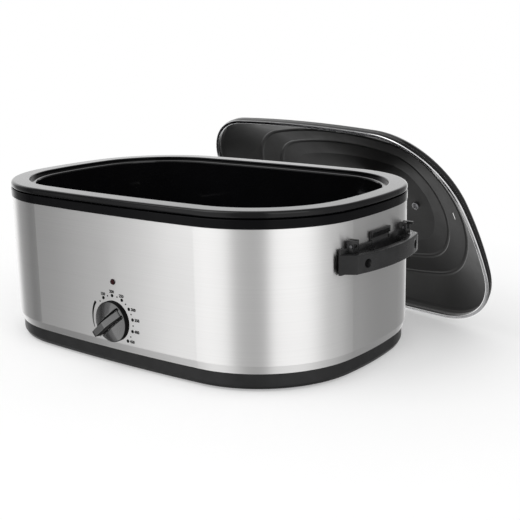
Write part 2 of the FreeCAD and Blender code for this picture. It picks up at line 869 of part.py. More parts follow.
def make_knob():
    """The round control knob, drawn upright and then turned to face the front."""
    body = new_body("control_knob")
    skirt_sketch = new_sketch(body, "skirt_circle")
    circle(skirt_sketch, 0, 0, size("knob_radius"))
    pad(body, "skirt", skirt_sketch, size("knob_skirt"))
    hub_sketch = new_sketch(body, "hub_circle", "plan", size("knob_skirt"))
    circle(hub_sketch, 0, 0, size("knob_hub_radius"))
    hub_top = size("knob_skirt") + size("knob_hub_height")
    pad(body, "hub", hub_sketch, size("knob_hub_height"))
    bar_sketch = new_sketch(body, "bar_outline", "plan", size("knob_skirt"))
    half, tip = size("grip_bar_width") / 2, size("grip_bar_tip") / 2
    reach = size("knob_radius") - size("grip_bar_tip_gap")
    tail = size("grip_bar_tail")
    loop(bar_sketch, [(-tail, -half), (reach, -tip), (reach, tip), (-tail, half)])
    bar_top = size("grip_bar_height")
    bar = pad(body, "bar", bar_sketch, bar_top - size("knob_skirt"))
    fillet(body, "soft_bar", bar, size("grip_bar_round"), at_level(bar_top))
    fillet(body, "soft_skirt", body.Tip, size("knob_skirt_round"),
           lambda middle, edge: at_level(size("knob_skirt"))(middle, edge)
           and abs(math.hypot(middle.x, middle.y) - size("knob_radius").value) < 1e-3)
    round_hole(body, "bore", "plan", 0, 0, 0, size("shaft_radius"), hub_top, along_normal=True)
    facing = Rotation(Vector(1, 0, 0), 90)
    pointing = Rotation(Vector(0, 0, 1), size("knob_off_angle").value)
    place(body, (control_x, front_face - size("knob_gap"), knob_level), facing.multiply(pointing))


def make_pilot_lamp():
    """Red lens through the front of the wrap and the lamp holder behind it."""
    lens = new_body("pilot_lamp_lens")
    sketch = new_sketch(lens, "lens_circle", "plan", 0)
    circle(sketch, 0, 0, size("lamp_radius"))
    height = size("wrap_sheet") + size("lens_proud")
    barrel = pad(lens, "barrel", sketch, height)
    fillet(lens, "dome", barrel, size("lens_round"), at_level(height))
    place(lens, (control_x, front_inside, lamp_level), Rotation(Vector(1, 0, 0), 90))
    holder = cylinder("pilot_lamp_holder", size("lamp_radius") + size("holder_wall"),
                      size("holder_depth"), (control_x, front_inside + size("seat_play"), lamp_level),
                      "back")
    subparts.append(holder)


# ---------------------------------------------------------------- wiring

def make_wiring():
    """Terminal block on the tray floor, thermal fuse under the well and the cord inlet."""
    floor = tray_bottom + size("tray_wall")
    corner = (size("terminal_block_x"), size("terminal_block_y"), floor)
    extent = (size("terminal_block_length"), size("terminal_block_width"),
              size("terminal_block_height"))
    subparts.append(block("terminal_block", corner, extent))
    fuse_radius = size("fuse_radius")
    fuse = cylinder("thermal_fuse", fuse_radius, size("fuse_length"),
                    (size("fuse_x"), size("fuse_y"), well_floor - fuse_radius), "right")
    subparts.append(fuse)
    bushing = new_body("cord_bushing")
    flange_radius = size("bushing_radius") + size("bushing_flange_wall")
    sketch = new_sketch(bushing, "flange_circle", "plan", 0)
    circle(sketch, 0, 0, flange_radius)
    pad(bushing, "flange", sketch, size("bushing_flange"))
    neck = size("bushing_neck")
    neck_sketch = new_sketch(bushing, "neck_circle", "plan", -neck)
    circle(neck_sketch, 0, 0, size("bushing_radius"))
    pad(bushing, "neck", neck_sketch, neck)
    round_hole(bushing, "bore", "plan", size("bushing_flange"), 0, 0, size("bushing_bore"),
               neck + size("bushing_flange"))
    wall = size("half_length") - size("tray_inset")
    place(bushing, (-wall, 0, size("inlet_level")), Rotation(Vector(0, 1, 0), -90))


# ---------------------------------------------------------------- side handles

grip_low = size("handle_low")
grip_top = grip_low + size("grip_height")
plate_low = grip_low - size("plate_drop")
plate_top = plate_low + size("plate_height")
wall_plan = body_plan.inset(-size("seat_play"))
plate_plan = wall_plan.inset(-size("plate_sheet"))
post_top = grip_low + size("post_height")
pin_x = plate_plan.wall_x(size("post_y")) + size("pin_offset")
pin_level = post_top - size("pin_drop")
screw_seat = plate_plan.wall_x(size("handle_screw_y")) + size("screw_seat")


def make_handle_plate(end):
    """Moulded plate on the end wall, with two forked posts and a framed, closed window."""
    body = new_body(f"handle_plate_{end}")
    half = size("plate_half_span")
    outline = new_sketch(body, "plate_outline", "plan", plate_low)
    loop(outline, [
        (wall_plan.wall_x(half), -half),
        (plate_plan.wall_x(half), -half, plate_plan.end_bow),
        (plate_plan.wall_x(half), half),
        (wall_plan.wall_x(half), half, -wall_plan.end_bow),
    ])
    pad(body, "plate", outline, size("plate_height"))
    face = plate_plan.half_length
    frame_sketch = new_sketch(body, "window_outline", "side", face)
    span, low, high = size("window_half_span"), size("window_low"), size("window_high")
    bar = size("window_bar")
    loop(frame_sketch, rectangle(-span, span, low, high))
    frame = pad(body, "window_frame", frame_sketch, size("plate_sheet"))
    frame.Reversed = True
    recess_sketch = new_sketch(body, "window_recess_outline", "side", face)
    loop(recess_sketch, rectangle(-span + bar, span - bar, low + bar, high - bar))
    pocket(body, "window_recess", recess_sketch, size("plate_sheet") - size("window_back"))
    for face_name, side in (("front", -1), ("rear", 1)):
        make_forked_post(body, face_name, side)
    pins_reach = size("plate_half_span") + CUT_MARGIN
    round_hole(body, "pin_bore", "front", pins_reach, pin_x, pin_level, size("pin_radius"),
               pins_reach * 2)
    for face_name, side in (("front", -1), ("rear", 1)):
        round_hole(body, f"screw_hole_{face_name}", "side", face + CUT_MARGIN,
                   size("handle_screw_y") * side, size("handle_screw_level"), size("screw_radius"),
                   size("screw_length"))
    return body


def make_forked_post(body, face_name, side):
    """One post of the plate: a block, slotted from above, with a tab that reaches outwards."""
    half_width, half_slot = size("post_width") / 2, size("post_slot") / 2
    middle = size("post_y") * side
    inner_x = wall_plan.wall_x(size("post_y") - half_width)
    outer_x = plate_plan.wall_x(size("post_y")) + size("post_depth")
    post_low = grip_top + size("post_gap")
    sketch = new_sketch(body, f"post_{face_name}_outline", "plan", post_low)
    loop(sketch, rectangle(inner_x, outer_x, middle - half_width, middle + half_width))
    pad(body, f"post_{face_name}", sketch, post_top - post_low)
    slot = new_sketch(body, f"slot_{face_name}_outline", "plan", post_top)
    loop(slot, rectangle(inner_x - CUT_MARGIN, outer_x + CUT_MARGIN, middle - half_slot,
                         middle + half_slot))
    pocket(body, f"slot_{face_name}", slot, post_top - plate_top)
    tab = new_sketch(body, f"tab_{face_name}_outline", "plan", post_top - size("tab_thick"))
    far, near = middle + half_width * side, middle + half_slot * side
    low_y, high_y = (far, near) if side < 0 else (near, far)
    loop(tab, rectangle(outer_x - size("tab_thick"), outer_x + size("tab_reach"), low_y, high_y))
    pad(body, f"tab_{face_name}", tab, size("tab_thick"))


def make_handle_grip(end):
    """The bowed bar of the handle with its two solid ends."""
    body = new_body(f"handle_grip_{end}")
    half, shoulder = size("grip_half_span"), size("grip_shoulder")
    bow = size("grip_bow_radius")
    centre = size("half_length") + size("grip_reach") - bow
    inner_bow = bow - size("grip_bar")
    finger = size("finger_half_span")
    outline = new_sketch(body, "bow_outline", "plan", grip_low)
    loop(outline, [
        (plate_plan.wall_x(half), -half),
        (centre + leg(bow, shoulder), -shoulder, bow),
        (centre + leg(bow, shoulder), shoulder),
        (plate_plan.wall_x(half), half, -plate_plan.end_bow),
        (plate_plan.wall_x(finger), finger),
        (centre + leg(inner_bow, finger), finger, -inner_bow),
        (centre + leg(inner_bow, finger), -finger),
        (plate_plan.wall_x(finger), -finger, -plate_plan.end_bow),
    ])
    bar = pad(body, "bar", outline, size("grip_height"))

    def bow_edge(middle, edge):
        from_centre = math.hypot(middle.x - centre.value, middle.y)
        return at_level(grip_low, grip_top)(middle, edge) and abs(from_centre - bow.value) < 1e-3
    fillet(body, "soft_edges", bar, size("grip_edge_round"), bow_edge)
    face = size("half_length") + size("grip_reach") + CUT_MARGIN
    for face_name, side in (("front", -1), ("rear", 1)):
        y = size("handle_screw_y") * side
        round_hole(body, f"recess_{face_name}", "side", face, y, size("handle_screw_level"),
                   size("screw_head_radius") + size("recess_play"), face - screw_seat)
        round_hole(body, f"screw_hole_{face_name}", "side", face, y, size("handle_screw_level"),
                   size("screw_radius"), face - screw_seat + size("screw_length"))
    return body


def make_handles():
    """Both handles: the left one is the right one turned half round."""
    half_turn = Rotation(Vector(0, 0, 1), 180)
    screws = []
    pin_length = size("post_width") + size("pin_proud") * 2
    for end, side in (("right", 1), ("left", -1)):
        plate, grip = make_handle_plate(end), make_handle_grip(end)
        pins = []
        for number, across in enumerate((-1, 1)):
            start = size("post_y") * across - pin_length / 2
            pins.append(cylinder(f"pin_{end}_{number}", size("pin_radius"), pin_length,
                                 (pin_x, start, pin_level), "back"))
        group = combine("Part::Compound", f"handle_pins_{end}", pins)
        if side < 0:
            for piece in (plate, grip, group):
                piece.Placement = Placement(Vector(), half_turn)
        for across in (-1, 1):
            y, level = size("handle_screw_y") * across, size("handle_screw_level")
            screws.append(make_screw(f"handle_screw_{len(screws)}", end, (
                ((screw_seat - size("screw_length")) * side, y, level), size("screw_length")), (
                (screw_seat * side, y, level), size("screw_head_radius"))))
    combine("Part::Compound", "handle_screws", screws)


def make_screw(name, direction, shank, head):
    """A plain screw: a shank with its start and length, a head with its start and radius."""
    shank_start, length_of_shank = shank
    head_start, head_radius = head
    screw = doc.addObject("Part::Fuse", name)
    screw.Base = cylinder(f"{name}_shank", size("screw_radius"), length_of_shank, shank_start, direction)
    screw.Tool = cylinder(f"{name}_head", head_radius, size("screw_head_height"), head_start, direction)
    return screw


# ---------------------------------------------------------------- pan and rack

def make_pan():
    """The enamelled pan: a rolled edge, a flat shelf, a lower ledge for the lid and a deep cavity."""
    body = new_body("roasting_pan")
    sheet_gauge = size("pan_sheet")
    rim_outer = body_plan.inset(-size("rim_overhang"))
    roll_inner = rim_outer.inset(size("rim_roll_width"))
    step = rim_outer.inset(size("rim_shelf_width"))
    plan_pad(body, "roll", rim_low, rim_top, rim_outer, roll_inner)
    plan_pad(body, "shelf", rim_top - sheet_gauge, rim_top, roll_inner.inset(-sheet_gauge), step)
    plan_pad(body, "step", land_top - sheet_gauge, rim_top, step.inset(-sheet_gauge), step)
    fillet(body, "soft_roll", body.Tip, size("rim_roll_round"),
           lambda middle, edge: at_level(rim_low, rim_top)(middle, edge) and on_plan(rim_outer, middle))
    fillet(body, "soft_inside", body.Tip, size("rim_inner_round"),
           lambda middle, edge: at_level(rim_top)(middle, edge) and on_plan(step, middle))
    plan_pad(body, "land", land_top - sheet_gauge, land_top, step.inset(-sheet_gauge))
    mouth = body_plan.inset(size("rim_width"))
    foot = mouth.inset(size("pan_draft"))
    corner, curl = size("pan_corner"), size("rim_mouth_round")
    loft(body, "Additive", "outside",
         rounded_floor(foot.inset(-sheet_gauge), pan_floor - sheet_gauge, corner)
         + [(land_top - sheet_gauge, mouth.inset(-sheet_gauge))])
    loft(body, "Subtractive", "inside", rounded_floor(foot, pan_floor, corner) + [
        (land_top - curl, mouth),
        (land_top - curl * MOUTH_BEND, mouth.inset(-curl * MOUTH_BEND)),
        (land_top, mouth.inset(-curl)),
    ])


def make_rack():
    """Steel wire rack: an outline rod, rods laid across it, four feet and two lifting loops."""
    wire, rod = size("rack_wire"), size("rack_rod")
    level = pan_floor + size("rack_lift")
    top = level + wire
    outline = new_body("rack_outline")
    outer = body_plan.inset(size("rack_inset"))
    inner = outer.inset(wire * 2)
    ring = plan_pad(outline, "ring", level - wire, top, outer, inner)
    fillet(outline, "round_wire", ring, wire * WIRE_ROUND, at_level(level - wire, top))
    middle_line = outer.inset(wire)
    pitch = size("rack_pitch")
    each_side = int((middle_line.half_length.value - wire.value) / pitch.value)
    rods = []
    for number in range(-each_side, each_side + 1):
        x = pitch * number
        reach = half_width_at(middle_line, x)
        rods.append(cylinder(f"rack_rod_{number + each_side}", rod, reach * 2,
                             (x, -reach, top + rod), "back"))
    for side in (-1, 1):
        y = size("rack_long_rod_y")
        reach = length(half_length_at(inner, (y + rod).value)) - size("seat_play")
        rods.append(cylinder(f"rack_long_rod_{len(rods)}", rod, reach * 2,
                             (-reach, y * side, top - rod), "right"))
    combine("Part::Compound", "rack_rods", rods)
    foot_x, foot_gap = size("rack_foot_x"), size("rack_foot_gap")
    feet = []
    for side_x in (-1, 1):
        for side_y in (-1, 1):
            centre = (foot_x * side_x, half_width_at(middle_line, foot_x) * side_y,
                      pan_floor + foot_gap)
            feet.append(cylinder(f"rack_foot_{len(feet)}", wire, size("rack_lift") - foot_gap - wire,
                                 centre))
    combine("Part::Compound", "rack_feet", feet)
    for end, side in (("left", -1), ("right", 1)):
        make_rack_loop(end, middle_line.wall_x(size("rack_handle_half")) * side, top, level)


def make_rack_loop(end, x, foot, level):
    """One lifting loop: two posts on the outline rod and a bar between their rounded tops."""
    wire, half, rise = size("rack_wire"), size("rack_handle_half"), size("rack_handle_rise")
    parts = []
    for number, side in enumerate((-1, 1)):
        parts.append(cylinder(f"rack_post_{end}_{number}", wire, level + rise - foot, (x, half * side, foot)))
        knuckle = doc.addObject("Part::Sphere", f"rack_knuckle_{end}_{number}")
        knuckle.Radius = wire.value
        knuckle.setExpression("Radius", wire.formula)
        place(knuckle, (x, half * side, level + rise))
        parts.append(knuckle)
    parts.append(cylinder(f"rack_bar_{end}", wire, half * 2, (x, -half, level + rise), "back"))
    combine("Part::MultiFuse", f"rack_loop_{end}", parts)


def half_width_at(plan, x):
    """Half the width of a plan at x, on the long bow or on the corner beyond it."""
    centre = plan.corner_centre()
    if abs(x.value) < centre.x:
        return plan.wall_y(x)
    across = leg(plan.corner, length(abs(x.value) - centre.x))
    return length(centre.y + across.value)


# ---------------------------------------------------------------- lid

lid_plan = body_plan.inset(size("lid_inset"))


def round_plan(name):
    """A rounder plan inside the lid's edge, for a ridge or the crown."""
    half_length = lid_plan.half_length * size(f"{name}_share_x")
    half_depth = lid_plan.half_depth * size(f"{name}_share_y")
    bulge = half_length * half_length / half_depth
    return Plan(half_length, half_depth, half_depth * size("round_corner_share"),
                half_depth * size("round_end_share"), bulge * size("round_front_share"))


outer_ridge, inner_ridge, crown_plan = [round_plan(name) for name in ("outer_ridge", "inner_ridge", "crown")]
lid_handle_x = crown_plan.half_length - size("lid_handle_margin")
vent_x = (outer_ridge.half_length + inner_ridge.half_length) / 2


def lid_profile():
    """Heights and plans of the lid's outside, from its foot to the crown."""
    step, rise, half = size("shell_step"), size("ridge_rise"), size("ridge_half_width")
    foot, flank, lean = size("edge_height"), size("flank_height"), size("flank_lean")
    stations = [(foot + flank * up, lid_plan.inset(step + lean * inwards))
                for up, inwards in FLANK_CURVE]
    for name, ridge in (("outer_ridge", outer_ridge), ("inner_ridge", inner_ridge)):
        level = size(f"{name}_level")
        stations += [(level + rise * up, ridge.inset(half * inwards)) for up, inwards in RIDGE_CURVE]
    stations.append((size("dome_height"), crown_plan))
    return stations


def lid_placement():
    """Stands the lid on its long edge behind the body. The inside of its crown leans on the rolled
    edge at one rear corner, and its edge band meets the rolled edge near the other."""
    lean, turn = math.radians(SIZES["lid_lean"]), math.radians(SIZES["lid_turn"])
    across = Vector(math.cos(turn), math.sin(turn), 0)
    backwards = Vector(-math.sin(turn), math.cos(turn), 0)
    upwards = Vector(0, 0, 1) * math.cos(lean) - backwards * math.sin(lean)
    dome = backwards * math.cos(lean) + Vector(0, 0, 1) * math.sin(lean)
    roll, edge, gap = SIZES["rim_roll_round"], SIZES["edge_roll"], SIZES["lean_gap"]
    level = SIZES["lid_floor_gap"] + edge - edge * math.sin(lean)
    level += (lid_plan.half_depth.value - edge) * math.cos(lean)
    rim = body_plan.inset(-size("rim_overhang"))
    touch_level = rim_top.value - roll
    support = rim.corner_centre() * backwards + rim.corner.value - roll
    reach = support * math.cos(lean) + touch_level * math.sin(lean) + roll
    inside = (size("dome_height") - gauge).value
    away = (reach + gap - inside - level * math.sin(lean)) / math.cos(lean)
    band_up = (touch_level - level) / math.cos(lean)
    band_half = half_length_at(lid_plan.inset(size("edge_width") - edge), band_up)
    meeting = across * (SIZES["lid_shift"] - band_half) + backwards * (away - band_up * math.sin(lean))
    short = rim.wall_y(meeting.x).value + gap - meeting.y
    away += max(0.0, short / math.cos(turn))
    centre = across * SIZES["lid_shift"] + backwards * away + Vector(0, 0, level)
    return Placement(centre, Rotation(across, upwards, dome))


def half_length_at(plan, y):
    """Half the length of a plan at y, on the corner beyond the end bow."""
    centre = plan.corner_centre()
    if abs(y) < centre.y:
        return plan.wall_x(y).value
    return centre.x + math.sqrt(plan.corner.value ** 2 - (abs(y) - centre.y) ** 2)


def make_lid():
    """Domed shell with two ridges, a bright edge band, a handle and its screws."""
    band = new_body("lid_edge_band")
    ring = plan_pad(band, "ring", 0, size("edge_height"), lid_plan, lid_plan.inset(size("edge_width")))
    fillet(band, "rolled", ring, size("edge_roll"), at_level(0, size("edge_height")))
    shell = new_body("lid_shell")
    profile = lid_profile()
    loft(shell, "Additive", "outside", profile)
    loft(shell, "Subtractive", "inside", [(level - gauge, plan.inset(gauge)) for level, plan in profile])
    crown = size("dome_height")
    half, wide = size("vent_length") / 2, size("vent_width") / 2
    for end, side in (("left", -1), ("right", 1)):
        slot = new_sketch(shell, f"vent_{end}_outline", "plan", crown)
        x = vent_x * side
        loop(slot, rectangle(x - wide, x + wide, -half, half))
        pocket(shell, f"vent_{end}", slot, crown - size("outer_ridge_level") + CUT_MARGIN)
        round_hole(shell, f"handle_hole_{end}", "plan", crown, lid_handle_x * side, 0,
                   size("screw_radius"), CUT_MARGIN)
    handle = make_lid_handle(crown)
    screws = []
    inside = crown - gauge
    for number, side in enumerate((-1, 1)):
        x = lid_handle_x * side
        shank = (x, 0, inside), size("lid_screw_length")
        head = (x, 0, inside - size("screw_head_height")), size("lid_screw_head")
        screws.append(make_screw(f"lid_screw_{number}", "up", shank, head))
    group = combine("Part::Compound", "lid_screws", screws)
    standing = lid_placement()
    for piece in (band, shell, handle, group):
        piece.Placement = standing


def make_lid_handle(crown):
    """An arched bar on two feet, above the crown of the lid."""
    body = new_body("lid_handle")
    sketch = new_sketch(body, "arch_outline", "front", -size("lid_handle_width") / 2)
    foot, rise, thick = lid_handle_x, size("lid_handle_rise"), size("lid_handle_thick")
    outer, inner = foot + size("lid_handle_foot"), foot - size("lid_handle_foot")
    slope, bow = size("lid_handle_slope"), size("lid_handle_bow")
    loop(sketch, [
        (-outer, crown),
        (-inner, crown),
        (-inner + slope, crown + rise - thick, -bow),
        (inner - slope, crown + rise - thick),
        (inner, crown),
        (outer, crown),
        (outer - slope, crown + rise, bow),
        (-outer + slope, crown + rise),
    ])
    bar = pad(body, "arch", sketch, size("lid_handle_width"))
    top_level = (crown + rise).value - LEVEL_MARGIN
    fillet(body, "round_shoulder", bar, size("lid_handle_shoulder"),
           lambda middle, edge: abs(middle.y) < 1 and middle.z > top_level)
    fillet(body, "soft_arch", body.Tip, size("lid_handle_round"),
           lambda middle, edge: abs(middle.y) > 1 and middle.z > top_level)
    for end, side in (("left", -1), ("right", 1)):
        round_hole(body, f"screw_hole_{end}", "plan", crown, foot * side, 0, size("screw_radius"),
                   size("lid_screw_length") - gauge, along_normal=True)
    return body


# ---------------------------------------------------------------- build, check and write

make_base_tray()
make_feet()
make_outer_wrap()
make_upper_collar()
make_well_liner()
make_heater()
make_heater_terminals()
make_underside()
make_thermostat()
make_knob()
make_pilot_lamp()
make_wiring()
make_handles()
make_pan()
make_rack()
make_lid()
doc.recompute()

failed = [item.Name for item in doc.Objects if {"Invalid", "Error"} & set(item.State)]
if failed:
    raise RuntimeError(f"objects failed to build: {failed}")
for part in subparts:
    if part.Shape.isNull() or not part.Shape.isValid():
        raise RuntimeError(f"{part.Label} has no valid shape")

os.makedirs("parts", exist_ok=True)
for part in subparts:
    part.Shape.exportStep(f"parts/{part.Label}.step")
    box = part.Shape.BoundBox
    print(f"{part.Label}: {len(part.Shape.Solids)} solid(s), {part.Shape.Volume / 1000:.1f} cm3, "
          f"z {box.ZMin:.1f} to {box.ZMax:.1f}")
print(f"{len(subparts)} sub-parts")
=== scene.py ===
# %% [markdown]
# # An electric roaster oven, dressed for its portrait
# The solid model of the oven is already made: a steel sleeve on a black base, a black collar,
# an enamelled pan with a wire rack, two side handles, a dial and a domed lid that leans behind.
# This lesson gives every piece its finish, and models the small things that a solid model leaves
# plain: soft edges, the knob and the print round it, the lamp, the screws and the seam at the back.

# %% Load the solid model
import json
import math
import bpy
from mathutils import Matrix, Vector

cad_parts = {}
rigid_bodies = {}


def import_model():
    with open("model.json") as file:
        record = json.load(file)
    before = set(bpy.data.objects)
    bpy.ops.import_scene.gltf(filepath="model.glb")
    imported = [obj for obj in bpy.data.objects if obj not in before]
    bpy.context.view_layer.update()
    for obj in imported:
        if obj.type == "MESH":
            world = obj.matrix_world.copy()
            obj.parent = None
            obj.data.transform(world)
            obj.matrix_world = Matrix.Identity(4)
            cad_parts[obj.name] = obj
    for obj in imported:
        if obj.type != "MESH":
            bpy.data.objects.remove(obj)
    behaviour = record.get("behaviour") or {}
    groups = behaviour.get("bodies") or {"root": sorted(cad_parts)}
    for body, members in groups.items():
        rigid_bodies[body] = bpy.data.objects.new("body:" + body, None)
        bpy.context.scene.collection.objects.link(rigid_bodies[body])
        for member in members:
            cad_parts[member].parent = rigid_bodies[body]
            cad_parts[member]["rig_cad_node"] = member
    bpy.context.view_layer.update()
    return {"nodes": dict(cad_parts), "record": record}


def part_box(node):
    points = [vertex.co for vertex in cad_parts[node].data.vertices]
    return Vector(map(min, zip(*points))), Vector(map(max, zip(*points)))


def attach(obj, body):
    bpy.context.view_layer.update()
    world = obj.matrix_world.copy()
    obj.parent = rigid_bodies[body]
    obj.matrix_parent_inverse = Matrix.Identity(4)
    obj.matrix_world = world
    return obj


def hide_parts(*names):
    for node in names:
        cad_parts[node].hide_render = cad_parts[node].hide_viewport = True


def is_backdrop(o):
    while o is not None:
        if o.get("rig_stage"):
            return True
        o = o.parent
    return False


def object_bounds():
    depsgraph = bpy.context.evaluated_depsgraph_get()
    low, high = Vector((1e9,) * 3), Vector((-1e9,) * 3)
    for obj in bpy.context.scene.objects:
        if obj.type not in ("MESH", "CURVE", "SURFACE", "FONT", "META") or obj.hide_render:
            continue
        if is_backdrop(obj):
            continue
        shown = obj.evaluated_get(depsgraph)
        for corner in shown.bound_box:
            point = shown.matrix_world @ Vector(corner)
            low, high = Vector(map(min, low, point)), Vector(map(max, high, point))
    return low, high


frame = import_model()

# %% [markdown]
# ## The camera
# The oven is seen from the front right and a little above, as it would stand on a shop table.
# The camera is placed by its position and three turns, and the lens is a long one, so the long
# front doesn't spread. A small shift moves the picture without turning the camera.

# %% Place the camera
# the frame's width, the focal length and the middle of the view, all in pixels
FRAME_PIXELS = 520
FOCAL_PIXELS = 932.7
CENTRE_PIXELS = (283.15, 233.18)
# the eye in metres, and its turns in radians
EYE = Vector((0.7922, -0.9411, 0.3973))
YAW, PITCH, ROLL = -0.6156, 0.2136, -0.0116

forward = Vector((math.sin(YAW) * math.cos(PITCH), math.cos(YAW) * math.cos(PITCH),
                  -math.sin(PITCH)))
right = Vector((math.cos(YAW), -math.sin(YAW), 0))
up = right.cross(forward)
rolled_right = right * math.cos(ROLL) + up * math.sin(ROLL)
rolled_up = up * math.cos(ROLL) - right * math.sin(ROLL)
turn = Matrix((rolled_right, rolled_up, -forward)).transposed()
bpy.ops.object.camera_add(location=EYE)
camera = bpy.context.object
camera.name = "camera"
camera.rotation_euler = turn.to_euler()
camera.data.sensor_width = 36
camera.data.lens = FOCAL_PIXELS / FRAME_PIXELS * camera.data.sensor_width
camera.data.shift_x = (FRAME_PIXELS / 2 - CENTRE_PIXELS[0]) / FRAME_PIXELS
camera.data.shift_y = (CENTRE_PIXELS[1] - FRAME_PIXELS / 2) / FRAME_PIXELS
bpy.context.scene.camera = camera
print("lens", round(camera.data.lens, 2), "mm,",
      "shift", round(camera.data.shift_x, 4), round(camera.data.shift_y, 4))

# %% [markdown]
# ## Effects that several finishes share
# Sheet steel, plastic and enamel all have small uneven spots, and metal that was rolled or
# brushed also has fine lines. Each effect is a node group that is built once. A group only gives
# values, and each finish uses them in its own way. All patterns read Object coordinates, and
# because every piece's origin is the origin of the whole oven, the patterns sit still on it.

# %% Helpers for node trees
def add_node(tree, kind, **values):
    """A node with its plain inputs set by name."""
    node = tree.nodes.new(kind)
    for name, value in values.items():
        socket = name.replace("_", " ").title()
        if socket in node.inputs:
            node.inputs[socket].default_value = value
        else:
            setattr(node, name, value)
    return node


def new_effect(name, inputs, outputs):
    """An empty node group with its sockets; gives the tree and its two ends."""
    tree = bpy.data.node_groups.new(name, "ShaderNodeTree")
    for label, kind, value in inputs:
        socket = tree.interface.new_socket(label, in_out="INPUT", socket_type=f"NodeSocket{kind}")
        if value is not None:
            socket.default_value = value
    for label, kind in outputs:
        tree.interface.new_socket(label, in_out="OUTPUT", socket_type=f"NodeSocket{kind}")
    return tree, tree.nodes.new("NodeGroupInput"), tree.nodes.new("NodeGroupOutput")


def map_range(tree, value, low, high, from_low=0.0, from_high=1.0):
    """Spreads a value over a new range; low and high may be sockets."""
    node = tree.nodes.new("ShaderNodeMapRange")
    tree.links.new(value, node.inputs["Value"])
    node.inputs["From Min"].default_value = from_low
    node.inputs["From Max"].default_value = from_high
    for name, item in (("To Min", low), ("To Max", high)):
        if isinstance(item, (int, float)):
            node.inputs[name].default_value = item
        else:
            tree.links.new(item, node.inputs[name])
    return node.outputs["Result"]


# %% Spots: soft patches of a little more or less
# the part of a noise's range that is spread out, because it seldom gives more or less
NOISE_LOW, NOISE_HIGH = 0.3, 0.7
BOUNDS = [("Low", "Float", 0.0), ("High", "Float", 1.0)]
spots, inside, outside = new_effect(
    "spots", [("Vector", "Vector", None), ("Scale", "Float", 20.0)] + BOUNDS,
    [("Value", "Float")])
cloud = add_node(spots, "ShaderNodeTexNoise", detail=4.0, roughness=0.62)
spots.links.new(inside.outputs["Vector"], cloud.inputs["Vector"])
spots.links.new(inside.outputs["Scale"], cloud.inputs["Scale"])
cloud_value = map_range(spots, cloud.outputs["Fac"], inside.outputs["Low"], inside.outputs["High"],
                        NOISE_LOW, NOISE_HIGH)
spots.links.new(cloud_value, outside.inputs["Value"])

# %% Fine lines: noise drawn out along one direction
lines, inside, outside = new_effect(
    "fine_lines", [("Vector", "Vector", None), ("Along", "Vector", (1.0, 1.0, 1.0))] + BOUNDS,
    [("Value", "Float"), ("Height", "Float")])
stretch = add_node(lines, "ShaderNodeVectorMath", operation="MULTIPLY")
lines.links.new(inside.outputs["Vector"], stretch.inputs[0])
lines.links.new(inside.outputs["Along"], stretch.inputs[1])
thread = add_node(lines, "ShaderNodeTexNoise", scale=1.0, detail=5.0, roughness=0.7)
lines.links.new(stretch.outputs["Vector"], thread.inputs["Vector"])
thread_value = map_range(lines, thread.outputs["Fac"], inside.outputs["Low"],
                         inside.outputs["High"], NOISE_LOW, NOISE_HIGH)
lines.links.new(thread_value, outside.inputs["Value"])
lines.links.new(thread.outputs["Fac"], outside.inputs["Height"])

# %% Grit: the fine sparked texture of a mould or of fired enamel
grit, inside, outside = new_effect(
    "grit", [("Vector", "Vector", None), ("Scale", "Float", 900.0)], [("Height", "Float")])
fine = add_node(grit, "ShaderNodeTexNoise", detail=2.0, roughness=0.5)
cells = add_node(grit, "ShaderNodeTexVoronoi", feature="SMOOTH_F1")
grain = add_node(grit, "ShaderNodeMath", operation="ADD")
for node in (fine, cells):
    grit.links.new(inside.outputs["Vector"], node.inputs["Vector"])
    grit.links.new(inside.outputs["Scale"], node.inputs["Scale"])
grit.links.new(fine.outputs["Fac"], grain.inputs[0])
grit.links.new(cells.outputs["Distance"], grain.inputs[1])
grit.links.new(grain.outputs["Value"], outside.inputs["Height"])
print("effects:", [group.name for group in bpy.data.node_groups])

# %% [markdown]
# ## Finishes
# A finish is a Principled shader with plain numbers on its own sockets, and a few links for what
# changes over the surface: a shade, a roughness and a bump. The helper below builds the usual
# set, and finishes that need more add their own nodes to it. Where one solid has two looks, the
# way a face points tells them apart, so the helper can also measure that along an axis.

# %% A helper that starts a finish
# a Mix node has the sockets of all its data types; these are the ones for colours
MIX_DARK, MIX_LIGHT, MIX_COLOUR = 6, 7, 2


